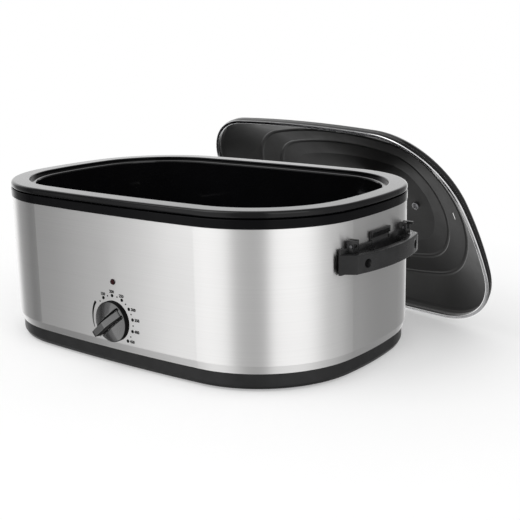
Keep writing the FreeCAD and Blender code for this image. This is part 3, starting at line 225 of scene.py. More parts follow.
class Finish:
    """One material: its tree, its shader and short ways to link what changes over it."""

    def __init__(self, name, colour, **numbers):
        self.material = bpy.data.materials.new(name)
        self.material.use_nodes = True
        self.tree = self.material.node_tree
        self.shader = self.tree.nodes["Principled BSDF"]
        self.shader.inputs["Base Color"].default_value = (*colour, 1)
        self.colour = colour
        for label, value in numbers.items():
            socket = label.replace("_", " ").title().replace("Ior", "IOR")
            self.shader.inputs[socket].default_value = value
        self.place = self.tree.nodes.new("ShaderNodeTexCoord").outputs["Object"]

    def effect(self, group, output="Value", **inputs):
        """Places a shared effect with this finish's own values; gives one of its outputs."""
        node = self.tree.nodes.new("ShaderNodeGroup")
        node.node_tree = group
        self.tree.links.new(self.place, node.inputs["Vector"])
        for label, value in inputs.items():
            node.inputs[label.title()].default_value = value
        return node.outputs[output]

    def facing(self, axis):
        """How far a face points along an axis: 1 along it, -1 against it."""
        surface = self.tree.nodes.new("ShaderNodeNewGeometry")
        share = add_node(self.tree, "ShaderNodeVectorMath", operation="DOT_PRODUCT")
        self.tree.links.new(surface.outputs["Normal"], share.inputs[0])
        share.inputs[1].default_value = axis
        return share.outputs["Value"]

    def mix(self, value, dark, light):
        """A colour between two tones; each tone is three numbers or a socket."""
        node = add_node(self.tree, "ShaderNodeMix", data_type="RGBA")
        self.tree.links.new(value, node.inputs[0])
        for index, item in ((MIX_DARK, dark), (MIX_LIGHT, light)):
            if isinstance(item, tuple):
                node.inputs[index].default_value = (*item, 1)
            else:
                self.tree.links.new(item, node.inputs[index])
        return node.outputs[MIX_COLOUR]

    def shade(self, value, dark, light=None):
        """Runs the base colour between a darker and a lighter tone."""
        between = self.mix(value, dark, light or self.colour)
        self.tree.links.new(between, self.shader.inputs["Base Color"])

    def rough(self, value):
        """Links the roughness."""
        self.tree.links.new(value, self.shader.inputs["Roughness"])

    def bump(self, height, distance, strength):
        """Raises and lowers the surface a little, in metres."""
        node = add_node(self.tree, "ShaderNodeBump", strength=strength, distance=distance)
        self.tree.links.new(height, node.inputs["Height"])
        self.tree.links.new(node.outputs["Normal"], self.shader.inputs["Normal"])


def tone(colour, share):
    """A colour made darker or lighter by a share."""
    return tuple(min(1.0, part * share) for part in colour)


finishes = {}

# %% [markdown]
# ### Brushed stainless steel
# The sleeve is sheet steel that ran under a brushing belt before it was bent round the oven, so
# its lines run level, all the way round. Such lines spread a reflection upwards and downwards
# and keep it narrow sideways, which is why the front shows soft upright bands. The shader does
# this with anisotropy. Its tangent runs round the upright axis, and a quarter of a turn lays the
# long way of the highlight upright. The lines themselves are a fine bump and a slight change of
# tone.

# %% Brushed steel for the sleeve
steel = Finish("brushed_steel", (0.82, 0.815, 0.81), metallic=1.0, roughness=0.34, anisotropic=0.85,
               anisotropic_rotation=0.25)
around = add_node(steel.tree, "ShaderNodeTangent", direction_type="RADIAL", axis="Z")
steel.tree.links.new(around.outputs["Tangent"], steel.shader.inputs["Tangent"])
LEVEL_LINES = (4.0, 4.0, 2600.0)
steel.shade(steel.effect(lines, along=LEVEL_LINES), (0.785, 0.78, 0.775), (0.845, 0.84, 0.835))
steel.rough(steel.effect(spots, scale=9.0, low=0.32, high=0.37))
steel.bump(steel.effect(lines, "Height", along=LEVEL_LINES), 0.00001, 0.06)
finishes["brushed_steel"] = steel.material

# %% [markdown]
# ### Black parts
# The collar is glossy coated steel, the base and the handles are satin moulded plastic with a
# faint sparked texture, and the feet are dull rubber. The knob's steep sides get a second,
# darker black with almost no reflection: painted shade that draws them as black lines beside
# the grip. Black shows its finish only by what it reflects, so roughness and the strength of the
# reflection carry the look. The knob's face has a clear coat that fades out where the face turns
# away from the front.

# %% Gloss coat, satin plastic, polished plastic and rubber
gloss = Finish("collar_black", (0.004, 0.004, 0.0045), roughness=0.14, specular_ior_level=0.07)
gloss.shade(gloss.effect(spots, scale=40.0), (0.003, 0.003, 0.0035))
gloss.rough(gloss.effect(spots, scale=14.0, low=0.10, high=0.16))
gloss.bump(gloss.effect(spots, scale=160.0), 0.00002, 0.3)
finishes["collar_black"] = gloss.material

# name, colour, strength of reflection, roughness from and to, fineness and depth of the texture
BLACKS = (("base_black", (0.013, 0.013, 0.0135), 0.28, 0.36, 0.46, 1500.0, 0.4),
          ("handle_black", (0.014, 0.014, 0.0145), 0.38, 0.24, 0.34, 1500.0, 0.4),
          ("knob_black", (0.008, 0.008, 0.0085), 0.30, 0.16, 0.24, 500.0, 0.12),
          # the knob's steep sides: a darker, nearly unreflecting copy of the knob's black, as
          # painted shade
          ("knob_side", (0.004, 0.004, 0.004), 0.05, 0.50, 0.60, 1500.0, 0.4),
          ("foot_rubber", (0.022, 0.022, 0.022), 0.20, 0.70, 0.85, 900.0, 0.4))
# a face that looks straight to the front has the tilt -1; the knob's polish fades between these,
# and faces that tilt past the second get the painted shade of the sides
FACE_TILT, SIDE_TILT = -0.90, -0.80
for name, colour, shine, low, high, fineness, depth in BLACKS:
    black = Finish(name, colour, roughness=low, specular_ior_level=shine)
    black.shade(black.effect(spots, scale=60.0), tone(colour, 0.75), tone(colour, 1.25))
    black.rough(black.effect(spots, scale=35.0, low=low, high=high))
    black.bump(black.effect(grit, "Height", scale=fineness), 0.00004, depth)
    if name == "knob_black":
        black.shader.inputs["Coat IOR"].default_value = 2.1
        black.shader.inputs["Coat Roughness"].default_value = 0.08
        polish = map_range(black.tree, black.facing((0, 1, 0)), 1.0, 0.0, FACE_TILT, SIDE_TILT)
        black.tree.links.new(polish, black.shader.inputs["Coat Weight"])
    finishes[name] = black.material

# %% [markdown]
# ### Enamel
# The pan is dipped in black glass enamel and fired, which leaves a deep gloss with a very slight
# orange peel. The lid is enamelled too, but its two sides differ: the outside is glossy black,
# and the inside is a dull dark grey. On the inside, the slopes and ridges are painted lighter
# than the flat middle, a painted highlight for the light that they catch.
# Both sides are one solid, so the finish looks at which way a face points: along the dome's axis
# is outside, and against it is inside.

# %% Enamel for the pan and the lid
enamel = Finish("pan_enamel", (0.004, 0.004, 0.0045), roughness=0.12, specular_ior_level=0.15,
                coat_weight=0.22, coat_roughness=0.04)
enamel.shade(enamel.effect(spots, scale=30.0), (0.003, 0.003, 0.0034))
enamel.rough(enamel.effect(spots, scale=18.0, low=0.09, high=0.17))
enamel.bump(enamel.effect(spots, scale=220.0), 0.00003, 0.35)
finishes["pan_enamel"] = enamel.material

# how far the lid leans back from upright, and how far it is turned on the table
LID_LEAN, LID_TURN = math.radians(29.4), math.radians(-13.76)
backwards = Vector((-math.sin(LID_TURN), math.cos(LID_TURN), 0))
dome_axis = backwards * math.cos(LID_LEAN) + Vector((0, 0, 1)) * math.sin(LID_LEAN)
lid = Finish("lid_enamel", (0.02, 0.0195, 0.019), roughness=0.3, specular_ior_level=0.35)
# against the axis, -1 is the flat middle; the slopes begin between these two
FLAT_TILT, SLOPE_TILT, EITHER_SIDE = -0.93, -0.80, 0.02
# the inner flat grey, and a lighter grey on the slopes that is a painted highlight
INNER_FLAT, INNER_SLOPE_PAINTED_HIGHLIGHT = (0.013, 0.0128, 0.0125), (0.032, 0.032, 0.0315)
OUTER_BLACK, OUTER_ROUGHNESS = (0.003, 0.003, 0.003), 0.13
outwards = lid.facing(dome_axis)
outer_side = map_range(lid.tree, outwards, 0.0, 1.0, -EITHER_SIDE, EITHER_SIDE)
# painted highlight: inner faces that tilt away from the flat middle, the slopes and ridges, go
# lighter
slope = map_range(lid.tree, outwards, 0.0, 1.0, FLAT_TILT, SLOPE_TILT)
lid.shade(outer_side, lid.mix(slope, INNER_FLAT, INNER_SLOPE_PAINTED_HIGHLIGHT), OUTER_BLACK)
inner_rough = lid.effect(spots, scale=26.0, low=0.40, high=0.50)
lid.rough(map_range(lid.tree, outer_side, inner_rough, OUTER_ROUGHNESS))
lid.bump(lid.effect(spots, scale=320.0), 0.00004, 0.35)
finishes["lid_enamel"] = lid.material

# %% [markdown]
# ### Bright and plain metals
# The rack is chromed wire and the lid's edge is a polished steel band, both nearly mirrors. The
# brackets are zinc-plated, and the screws, rivets and handle pins are a darker zinc.
# The well is rolled aluminium sheet, and the heater's band is plain steel that has been hot. One
# helper makes them all, each with its own tone, roughness and direction of the rolling lines.

# %% Metals
def metal(name, colour, low, high, along=(90.0, 90.0, 90.0), depth=0.15):
    """A metal whose roughness runs from low to high; along is how fine its lines are in x, y, z."""
    item = Finish(name, colour, metallic=1.0, roughness=low)
    item.shade(item.effect(spots, scale=45.0), tone(colour, 0.86), tone(colour, 1.06))
    item.rough(item.effect(spots, scale=70.0, low=low, high=high))
    item.bump(item.effect(lines, "Height", along=along), 0.00003, depth)
    finishes[name] = item.material
    return item


metal("rack_chrome", (0.80, 0.80, 0.82), 0.10, 0.18)
edge = metal("edge_steel", (0.88, 0.88, 0.89), 0.16, 0.26)
metal("zinc_steel", (0.62, 0.63, 0.66), 0.28, 0.42, depth=0.3)
metal("dark_zinc", (0.20, 0.20, 0.21), 0.28, 0.42, depth=0.3)
metal("well_aluminium", (0.72, 0.73, 0.74), 0.30, 0.42, along=(6.0, 900.0, 900.0), depth=0.3)
metal("band_metal", (0.50, 0.48, 0.45), 0.35, 0.50, along=(6.0, 6.0, 900.0), depth=0.3)
metal("sensor_brass", (0.74, 0.55, 0.26), 0.25, 0.40)

# %% The lid's edge is bright in front and enamelled black round its outside
BRIGHT_TILT, BLACK_TILT = -0.30, -0.12
bright = map_range(edge.tree, edge.facing(dome_axis), 1.0, 0.0, BRIGHT_TILT, BLACK_TILT)
edge.tree.links.new(bright, edge.shader.inputs["Metallic"])
edge.shader.inputs["Specular IOR Level"].default_value = 0.2
steel_tone = edge.shader.inputs["Base Color"].links[0].from_socket
edge.shade(bright, OUTER_BLACK, steel_tone)

# %% [markdown]
# ### Small electrical parts and print
# Inside are a brown thermostat case, pale ceramic blocks and fibre wool, and outside is the red
# lamp, a small lens of clear red plastic over a dark socket. The dial's print is a thin dull
# black ink. All are modest parts, but a repair shop would see every one of them.

# %% Wool, ceramic, phenolic, lamp and ink
wool = Finish("blanket_fibre", (0.86, 0.83, 0.74), roughness=0.95, sheen_weight=0.3)
wool.shade(wool.effect(lines, along=(700.0, 120.0, 120.0)), (0.66, 0.62, 0.52))
wool.bump(wool.effect(spots, scale=380.0), 0.0006, 0.8)
finishes["blanket_fibre"] = wool.material
for name, colour, shine, low, high in (("white_insulator", (0.84, 0.83, 0.78), 0.5, 0.45, 0.6),
                                       ("thermostat_case", (0.16, 0.085, 0.05), 0.5, 0.40, 0.55),
                                       ("dial_ink", (0.004, 0.004, 0.0045), 0.1, 0.50, 0.65)):
    plain = Finish(name, colour, roughness=low, specular_ior_level=shine)
    plain.shade(plain.effect(spots, scale=120.0), tone(colour, 0.8), tone(colour, 1.08))
    plain.rough(plain.effect(spots, scale=90.0, low=low, high=high))
    plain.bump(plain.effect(grit, "Height", scale=1200.0), 0.00003, 0.25)
    finishes[name] = plain.material
lamp = Finish("lamp_red", (0.02, 0.001, 0.002), roughness=0.2, specular_ior_level=0.15)
lamp.shade(lamp.effect(spots, scale=300.0), (0.010, 0.0006, 0.001), (0.030, 0.0012, 0.002))
lamp.rough(lamp.effect(spots, scale=200.0, low=0.10, high=0.2))
lamp.bump(lamp.effect(grit, "Height", scale=900.0), 0.00003, 0.2)
finishes["lamp_red"] = lamp.material
print(len(finishes), "finishes")

# %% [markdown]
# ### Handing the finishes out
# The record says which finish each solid has. The lid leans so near to the oven that its mirror
# image would darken the steel's right end and the pan's rim. It is therefore not shown in
# reflections, and neither is the knob, which would draw a black streak on the steel.

# %% Give every solid its finish
slot_of = {part["node"]: part["material_slot"] for part in frame["record"]["subparts"]}
for name, node in frame["nodes"].items():
    if not node.material_slots:
        node.data.materials.append(None)
    for slot in node.material_slots:
        slot.material = finishes["dark_zinc" if "_pins_" in name else slot_of[name]]
    node.visible_glossy = not name.startswith("lid")
print("finishes given to", len(frame["nodes"]), "solids")

# %% [markdown]
# ## How new pieces are made
# A piece starts as a primitive of the right size in the right place. Everything is deselected
# first, because an operator works on all that is selected. Faces or edges are then picked by
# where they are, and extruded, inset or bevelled. At the end the piece's place is moved into its
# mesh, so that its object sits at the origin, as those of the solids do.

# %% Helpers that start a piece and pick its faces
ops, mesh_ops = bpy.ops, bpy.ops.mesh


def is_top(middle, normal):
    """Picks the faces that look along a primitive's own +Z."""
    return normal.z > 0.9


def start(kind, name, **where):
    """Adds a primitive and gives it its name."""
    ops.object.select_all(action="DESELECT")
    getattr(mesh_ops, f"primitive_{kind}_add")(**where)
    piece = bpy.context.object
    piece.name = piece.data.name = name
    return piece


def pick(piece, test, kind="FACE"):
    """Selects the faces or edges that pass a test of their middle and normal, in edit mode."""
    bpy.context.view_layer.objects.active = piece
    ops.object.mode_set(mode="EDIT")
    mesh_ops.select_mode(type=kind)
    mesh_ops.select_all(action="DESELECT")
    ops.object.mode_set(mode="OBJECT")
    mesh = piece.data
    if kind == "FACE":
        for face in mesh.polygons:
            face.select = bool(test(face.center, face.normal))
    else:
        for edge in mesh.edges:
            ends = [mesh.vertices[index].co for index in edge.vertices]
            edge.select = bool(test((ends[0] + ends[1]) / 2, (ends[1] - ends[0]).normalized()))
    ops.object.mode_set(mode="EDIT")


# %% Helpers that shape and copy a piece
def raise_rings(steps):
    """Insets the picked face ring by ring, and moves each ring by its own way."""
    for inset, way in steps:
        mesh_ops.inset(thickness=inset)
        ops.transform.translate(value=way)
    ops.object.mode_set(mode="OBJECT")


def apply_modifier(piece, kind, **values):
    """Adds a modifier with its values and applies it."""
    modifier = piece.modifiers.new(kind.lower(), kind)
    for label, value in values.items():
        setattr(modifier, label, value)
    bpy.context.view_layer.objects.active = piece
    ops.object.modifier_apply(modifier=modifier.name)


def put(first, place, direction, spin=0.0):
    """A copy of a piece with its own mesh, moved to a place and pointed along a direction."""
    item = first.copy()
    item.data = first.data.copy()
    bpy.context.collection.objects.link(item)
    item.matrix_world = Matrix.Translation(place) @ turned_to(direction).to_matrix().to_4x4() @ \
        Matrix.Rotation(spin, 4, "Z")
    return item


# %% Helpers that finish and join pieces
SAME_PLACE = 0.000002  # corners nearer to each other than this are one corner


def settle(piece, body, slot=None, finish=None, smooth=30):
    """Ends edit mode, moves the place into the mesh, shades it, and hands the piece over."""
    if bpy.context.mode != "OBJECT":
        ops.object.mode_set(mode="OBJECT")
    ops.object.select_all(action="DESELECT")
    piece.select_set(True)
    bpy.context.view_layer.objects.active = piece
    ops.object.transform_apply(location=True, rotation=True, scale=True)
    ops.object.mode_set(mode="EDIT")
    mesh_ops.select_all(action="SELECT")
    mesh_ops.remove_doubles(threshold=SAME_PLACE)
    mesh_ops.normals_make_consistent(inside=False)
    ops.object.mode_set(mode="OBJECT")
    ops.object.shade_smooth_by_angle(angle=math.radians(smooth))
    piece.data.materials.clear()
    piece.data.materials.append(finishes[finish or slot])
    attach(piece, body)
    return piece


def join(pieces, name):
    """Joins several meshes into one piece."""
    ops.object.select_all(action="DESELECT")
    for piece in pieces:
        piece.select_set(True)
    bpy.context.view_layer.objects.active = pieces[0]
    ops.object.join()
    pieces[0].name = pieces[0].data.name = name
    return pieces[0]


def turned_to(direction):
    """The turn that points a primitive's +Z along a direction."""
    return Vector(direction).to_track_quat("Z", "Y").to_euler()


# %% [markdown]
# ## Soft edges on the moulded parts
# A moulded handle has no knife edges: each one is rounded by half a millimetre or so, and that
# round catches a thin line of light that draws the shape. The solid model leaves the edges sharp,
# so a copy of each part has its loose triangles merged and its edges bevelled, and takes the
# part's place.

# %% Copies with rounded edges
MERGE_WITHIN = 0.00001
FLAT_WITHIN, SHARP_FROM = math.radians(1.5), math.radians(35)


def soften(name, width, body="body"):
    """A copy of a solid with its sharp edges rounded, which stands for the solid."""
    node = frame["nodes"][name]
    piece = node.copy()
    piece.data = node.data.copy()
    del piece["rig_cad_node"]
    bpy.context.collection.objects.link(piece)
    piece.name = piece.data.name = f"{name}_soft"
    ops.object.select_all(action="DESELECT")
    piece.select_set(True)
    bpy.context.view_layer.objects.active = piece
    ops.object.mode_set(mode="EDIT")
    mesh_ops.select_all(action="SELECT")
    mesh_ops.remove_doubles(threshold=MERGE_WITHIN)
    mesh_ops.dissolve_limited(angle_limit=FLAT_WITHIN)
    ops.object.mode_set(mode="OBJECT")
    apply_modifier(piece, "BEVEL", width=width, segments=2, angle_limit=SHARP_FROM)
    settle(piece, body, slot_of[name], smooth=40)
    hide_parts(name)
    return piece


for side in ("right", "left"):
    soft_grip = soften(f"handle_grip_{side}", width=0.0009)
    soft_plate = soften(f"handle_plate_{side}", width=0.0005)
soften("lid_handle", width=0.0010, body="lid").visible_glossy = False
print("soft handles:", len(soft_grip.data.polygons), "and", len(soft_plate.data.polygons), "faces")

# %% [markdown]
# ## The knob
# The knob is one moulding: a round drum that nearly touches the steel, and a tall grip that runs
# across its face and out past its edge as a pointer. The drum is a cylinder whose front is inset
# into many thin rings. The rings are then lifted into a shallow dome, with a groove along each
# side of the grip, as fingers would want it. The grip is a cube that is cut into lengths and
# narrowed towards its top and its tip, and its tail slopes down to the drum.

# %% Measures of the knob
KNOB = Vector((0.006, -0.1828, 0.0595))
OFF_DEGREES = 220
OFF_ANGLE = math.radians(OFF_DEGREES)
DRUM_RADIUS, DRUM_DEPTH = 0.025, 0.0062
EDGE_RINGS = [(0.0004, (0, -0.0005, 0)), (0.0008, (0, -0.0003, 0))]
FACE_RINGS = [(0.0008, (0, 0, 0))] * 28
FACE_RADIUS, DOME = 0.0238, 0.0040
GROOVE, GROOVE_AT, GROOVE_HALF, GROOVE_END = 0.0034, 0.0056, 0.0020, 5
GRIP_FRONT, GRIP_BACK, GRIP_WIDE, GRIP_TALL = 0.0256, -0.0215, 0.0100, 0.0160
GRIP_OUT, GRIP_CUTS, GRIP_EDGE = 0.00895, 15, 0.0007
UPRIGHT = (math.radians(90), 0, 0)  # turns a primitive's +Z to the front
knob_low, knob_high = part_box("control_knob")
print("knob", [round(v, 4) for v in knob_low], [round(v, 4) for v in knob_high])

# %% Drum, with a domed face and a groove on each side of the grip
drum = start("cylinder", "knob_drum", vertices=128, radius=DRUM_RADIUS, depth=DRUM_DEPTH,
             location=KNOB + Vector((0, -DRUM_DEPTH / 2, 0)), rotation=UPRIGHT)
pick(drum, is_top)
raise_rings(EDGE_RINGS + FACE_RINGS)
JUST_BELOW = 0.0001
face_level = max(vertex.co.z for vertex in drum.data.vertices) - JUST_BELOW
for vertex in drum.data.vertices:
    x, y, z = vertex.co
    if z > face_level:
        sideways = abs(x * math.sin(OFF_ANGLE) - y * math.cos(OFF_ANGLE))
        inwards = 1 - min(1.0, math.hypot(x, y) / FACE_RADIUS) ** 2
        fade = min(1.0, GROOVE_END * inwards)
        groove = max(0.0, 1 - abs(sideways - GROOVE_AT) / GROOVE_HALF) * fade
        vertex.co.z = z + DOME * inwards - GROOVE * groove

# %% Grip: x runs along it, y across it and z away from the steel
NARROWING, TIP_NARROWING, TIP_DROP = 0.17, 0.10, 0.0006
TAIL_DROP, TAIL_CURVE = 0.0086, 1.25
grip = start("cube", "knob_grip", size=1, location=(0, 0, 0))
grip.scale = (GRIP_FRONT - GRIP_BACK, GRIP_WIDE, GRIP_TALL)
ops.object.transform_apply(location=False, rotation=False, scale=True)
ops.object.mode_set(mode="EDIT")
mesh_ops.select_all(action="SELECT")
mesh_ops.subdivide(number_cuts=GRIP_CUTS)
ops.object.mode_set(mode="OBJECT")
half_long, half_tall = (GRIP_FRONT - GRIP_BACK) / 2, GRIP_TALL / 2
for vertex in grip.data.vertices:
    x, y, z = vertex.co
    rise = (z + half_tall) / GRIP_TALL
    to_tip, to_tail = max(0.0, x / half_long), max(0.0, -x / half_long)
    narrow = (1 - NARROWING * rise) * (1 - TIP_NARROWING * to_tip ** 3)
    drop = TIP_DROP * rise * to_tip ** 2 + TAIL_DROP * rise * to_tail ** TAIL_CURVE
    vertex.co = (x, y * narrow, z - drop)
apply_modifier(grip, "BEVEL", width=GRIP_EDGE, segments=3, limit_method="ANGLE",
               angle_limit=math.radians(50))
along = Vector((math.cos(OFF_ANGLE), 0, math.sin(OFF_ANGLE)))
to_front = Vector((0, -1, 0))
axes = Matrix((along, to_front.cross(along), to_front)).transposed().to_4x4()
grip_middle = KNOB + to_front * GRIP_OUT + along * (GRIP_FRONT + GRIP_BACK) / 2
grip.matrix_world = Matrix.Translation(grip_middle) @ axes

# %% The whole knob, with painted shade on its steep sides
knob = join([drum, grip], "knob_moulding")
settle(knob, "knob", "knob_black", smooth=40)
knob.data.materials.append(finishes["knob_side"])
# faces that turn away from the front take the second, darker black: painted shade on the sides
for face in knob.data.polygons:
    face.material_index = 1 if face.normal.y > SIDE_TILT else 0
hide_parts("control_knob")
knob.visible_glossy = False
print("knob:", len(knob.data.polygons), "faces")

# %% [markdown]
# ## The print round the knob
# The numbers of the dial are printed on the steel in black ink, with a dot at each, a small dot
# between, and a curved bar where the oven keeps food warm. The front is slightly bowed, so each
# mark is placed a hair in front of the bow at its own place. The numbers and the word OFF are
# text that is made a mesh, and the dots are short cylinders with a softened edge, modelled once
# and copied.

# %% Where the print goes
DIAL = Vector((0.0052, 0, 0.0595))
FRONT_BOW, HALF_DEPTH = 2.34, 0.182
PRINT_OFF = 0.00006


def bow_depth(x):
    """How far the bowed front or back lies from the oven's middle."""
    return HALF_DEPTH - FRONT_BOW + math.sqrt(FRONT_BOW ** 2 - x * x)


def on_front(x, z):
    """A place just in front of the bowed steel."""
    return Vector((x, -bow_depth(x) - PRINT_OFF, z))


def at_dial(radius, degrees):
    """A place on the steel at an angle round the dial."""
    angle = math.radians(degrees)
    return on_front(DIAL.x + radius * math.cos(angle), DIAL.z + radius * math.sin(angle))


DOT_CIRCLE = 0.0307
# where each number stands, in degrees: 0 is to the right and 90 at the top
settings = {"150": 123, "200": 93, "250": 62.7, "300": 35.6, "350": 10.4, "400": -17.1,
            "450": -46.7}
angles = list(settings.values())

# %% Dots
DOT_RADIUS, DOT_THICK, DOT_EDGE = 0.0021, 0.00012, 0.00003
SMALL_SHARE, SMALL_DOT_FIRST = 0.45, 138
first_dot = start("cylinder", "dial_dot", vertices=20, radius=DOT_RADIUS, depth=DOT_THICK)
pick(first_dot, is_top)
mesh_ops.bevel(offset=DOT_EDGE, segments=1)
ops.object.mode_set(mode="OBJECT")
marks = []
between = [(low + high) / 2 for low, high in zip(angles, angles[1:])] + [SMALL_DOT_FIRST]
for share, places in ((1.0, angles), (SMALL_SHARE, between)):
    for degrees in places:
        dot = put(first_dot, at_dial(DOT_CIRCLE, degrees), to_front)
        dot.scale = (share, share, 1)
        marks.append(dot)
bpy.data.objects.remove(first_dot)

# %% The curved bar, drawn as a ring that is cut down to an arc and gets narrower downwards
BAR_OUTER, BAR_INNER_WIDE, BAR_INNER_NARROW = 0.0377, 0.0344, 0.0368
BAR_FROM, BAR_TO, BAR_THICK = 149, 203, 0.00008
FIRST_INNER = 0.94  # the inner edge as a share of the outer one, before it is tapered
bar = start("circle", "dial_bar", vertices=180, radius=BAR_OUTER, fill_type="NOTHING")
bar.location = DIAL
bar.rotation_euler = UPRIGHT
ops.object.transform_apply(location=True, rotation=True, scale=True)


def dial_degrees(place):
    """The angle of a place round the dial, from 0 to 360."""
    return math.degrees(math.atan2(place.z - DIAL.z, place.x - DIAL.x)) % 360


pick(bar, lambda middle, way: not BAR_FROM < dial_degrees(middle) < BAR_TO, "EDGE")
mesh_ops.delete(type="EDGE")
ops.object.mode_set(mode="OBJECT")
for vertex in bar.data.vertices:
    vertex.co.y = on_front(vertex.co.x, vertex.co.z).y
pick(bar, lambda middle, way: True, "EDGE")
mesh_ops.extrude_edges_move()
ops.transform.resize(value=(FIRST_INNER, 1, FIRST_INNER), center_override=DIAL)
ops.object.mode_set(mode="OBJECT")
halfway = BAR_OUTER * (1 + FIRST_INNER) / 2
for vertex in bar.data.vertices:
    if math.hypot(vertex.co.x - DIAL.x, vertex.co.z - DIAL.z) < halfway:
        degrees = dial_degrees(vertex.co)
        fall = (degrees - BAR_FROM) / (BAR_TO - BAR_FROM)
        vertex.co = at_dial(BAR_INNER_WIDE + (BAR_INNER_NARROW - BAR_INNER_WIDE) * fall, degrees)
apply_modifier(bar, "SOLIDIFY", thickness=BAR_THICK, offset=0)

# %% Numbers: to the right of the dots on the right, and above the others
BESIDE, ABOVE, OFF_SHIFT = (0.0070, 0), (-0.0006, 0.0047), (-0.0042, -0.0035)
BESIDE_BELOW = 50  # degrees
TEXT_SIZE, TEXT_THICK, TEXT_WEIGHT = 0.0050, 0.00004, 0.00022
numbers = []
for words, degrees in [*settings.items(), ("OFF", OFF_DEGREES)]:
    ops.object.select_all(action="DESELECT")
    ops.object.text_add(rotation=UPRIGHT)
    text = bpy.context.object
    text.data.body = words
    text.data.size = TEXT_SIZE
    text.data.align_x, text.data.align_y = "CENTER", "CENTER"
    text.data.extrude = TEXT_THICK
    text.data.offset = TEXT_WEIGHT
    text.data.resolution_u = 3
    shift = OFF_SHIFT if words == "OFF" else BESIDE if degrees < BESIDE_BELOW else ABOVE
    dot_place = at_dial(DOT_CIRCLE, degrees)
    text.location = on_front(dot_place.x + shift[0], dot_place.z + shift[1])
    ops.object.convert(target="MESH")
    text = bpy.context.object
    text.name = f"dial_{words}"
    numbers.append(text)
dial_print = settle(join(marks + [bar] + numbers, "dial_print"), "body", finish="dial_ink")
print("print:", len(dial_print.data.polygons), "faces")

# %% [markdown]
# ## The lamp
# A small red lens tells that the heater is on. It is a turned button with a rounded face and a
# thin lip on the steel. A sphere would look glued on, so it is a cylinder whose face is inset
# and raised in steps, with a narrow black ring round it.

# %% Lens and ring
LAMP = Vector((0.006, -0.1822, 0.1075))
LENS_RADIUS, LENS_DEPTH = 0.0032, 0.0012
LENS_STEPS = ((0.0003, 0.0008), (0.0006, 0.0006), (0.0008, 0.00035), (0.0009, 0.00012))
RING_RADIUS, RING_WIRE, RING_FRONT, RING_FLARE = 0.0033, 0.00030, 0.4, 1.03
lens = start("cylinder", "lamp_lens", vertices=48, radius=LENS_RADIUS, depth=LENS_DEPTH,
             location=LAMP, rotation=UPRIGHT)
pick(lens, is_top)
raise_rings([(inset, (0, -rise, 0)) for inset, rise in LENS_STEPS])
settle(lens, "body", "lamp_red", smooth=60)
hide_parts("pilot_lamp_lens")

ring = start("torus", "lamp_ring", major_radius=RING_RADIUS, minor_radius=RING_WIRE,
             major_segments=48, minor_segments=10, location=LAMP, rotation=UPRIGHT)
pick(ring, lambda middle, normal: normal.z > RING_FRONT)
ops.transform.resize(value=(RING_FLARE, 1, RING_FLARE), center_override=LAMP)
ops.object.mode_set(mode="OBJECT")
settle(ring, "body", finish="collar_black", smooth=60)

# %% [markdown]
# ## Screws
# Pan-head screws with a cross recess hold the handles and the lid's handle. One is turned from a
# cylinder: its head is domed in steps, and a cross is cut into it by a boolean with two small
# bars. The copies go where the solid model has its plain screws, which they replace.

# %% One pan-head screw, pointing up
# all are shares of the head's radius and height
HEAD_WALL = 0.35
DOME_STEPS = ((0.08, 0.30), (0.16, 0.20), (0.24, 0.10))
SLOT_LONG, SLOT_WIDE, SLOT_DEEP, SLOT_MIDDLE = 1.1, 0.24, 0.8, 0.9


def make_screw(name, head_radius, head_height, shank_radius, shank_length):
    """A screw whose head's underside is at the origin and whose shank points down."""
    screw = start("cylinder", name, vertices=40, radius=head_radius, depth=head_height * HEAD_WALL,
                  location=(0, 0, head_height * HEAD_WALL / 2))
    pick(screw, is_top)
    raise_rings([(head_radius * inset, (0, 0, head_height * rise)) for inset, rise in DOME_STEPS])
    pick(screw, lambda middle, normal: normal.z < -0.9)
    mesh_ops.inset(thickness=head_radius - shank_radius)
    mesh_ops.extrude_region_move(TRANSFORM_OT_translate={"value": (0, 0, -shank_length)})
    ops.object.mode_set(mode="OBJECT")
    for quarter in (0, 90):
        blade = start("cube", "blade", size=1, location=(0, 0, head_height * SLOT_MIDDLE),
                      rotation=(0, 0, math.radians(quarter)))
        blade.scale = (head_radius * SLOT_LONG, head_radius * SLOT_WIDE, head_height * SLOT_DEEP)
        ops.object.transform_apply(location=True, rotation=True, scale=True)
        apply_modifier(screw, "BOOLEAN", object=blade, operation="DIFFERENCE", solver="EXACT")
        bpy.data.objects.remove(blade)
    return screw


# %% The handles' screws
SCREW_HEIGHT, SCREW_APART, SCREW_SEAT = 0.1414, 0.057, 0.27274
FIRST_SPIN, SPIN_PER_METRE = 0.4, 9  # no two crosses that are seen together stand alike
handle_screw = make_screw("handle_screw", head_radius=0.0045, head_height=0.0030,
                          shank_radius=0.0020, shank_length=0.0199)
copies = []
for side in (1, -1):
    for y in (SCREW_APART, -SCREW_APART):
        seat = Vector((SCREW_SEAT * side, y, SCREW_HEIGHT))
        spin = FIRST_SPIN + y * SPIN_PER_METRE
        copies.append(put(handle_screw, seat, (side, 0, 0), spin))
bpy.data.objects.remove(handle_screw)
screws = settle(join(copies, "handle_pan_screws"), "body", "zinc_steel", "dark_zinc")
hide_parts("handle_screws")

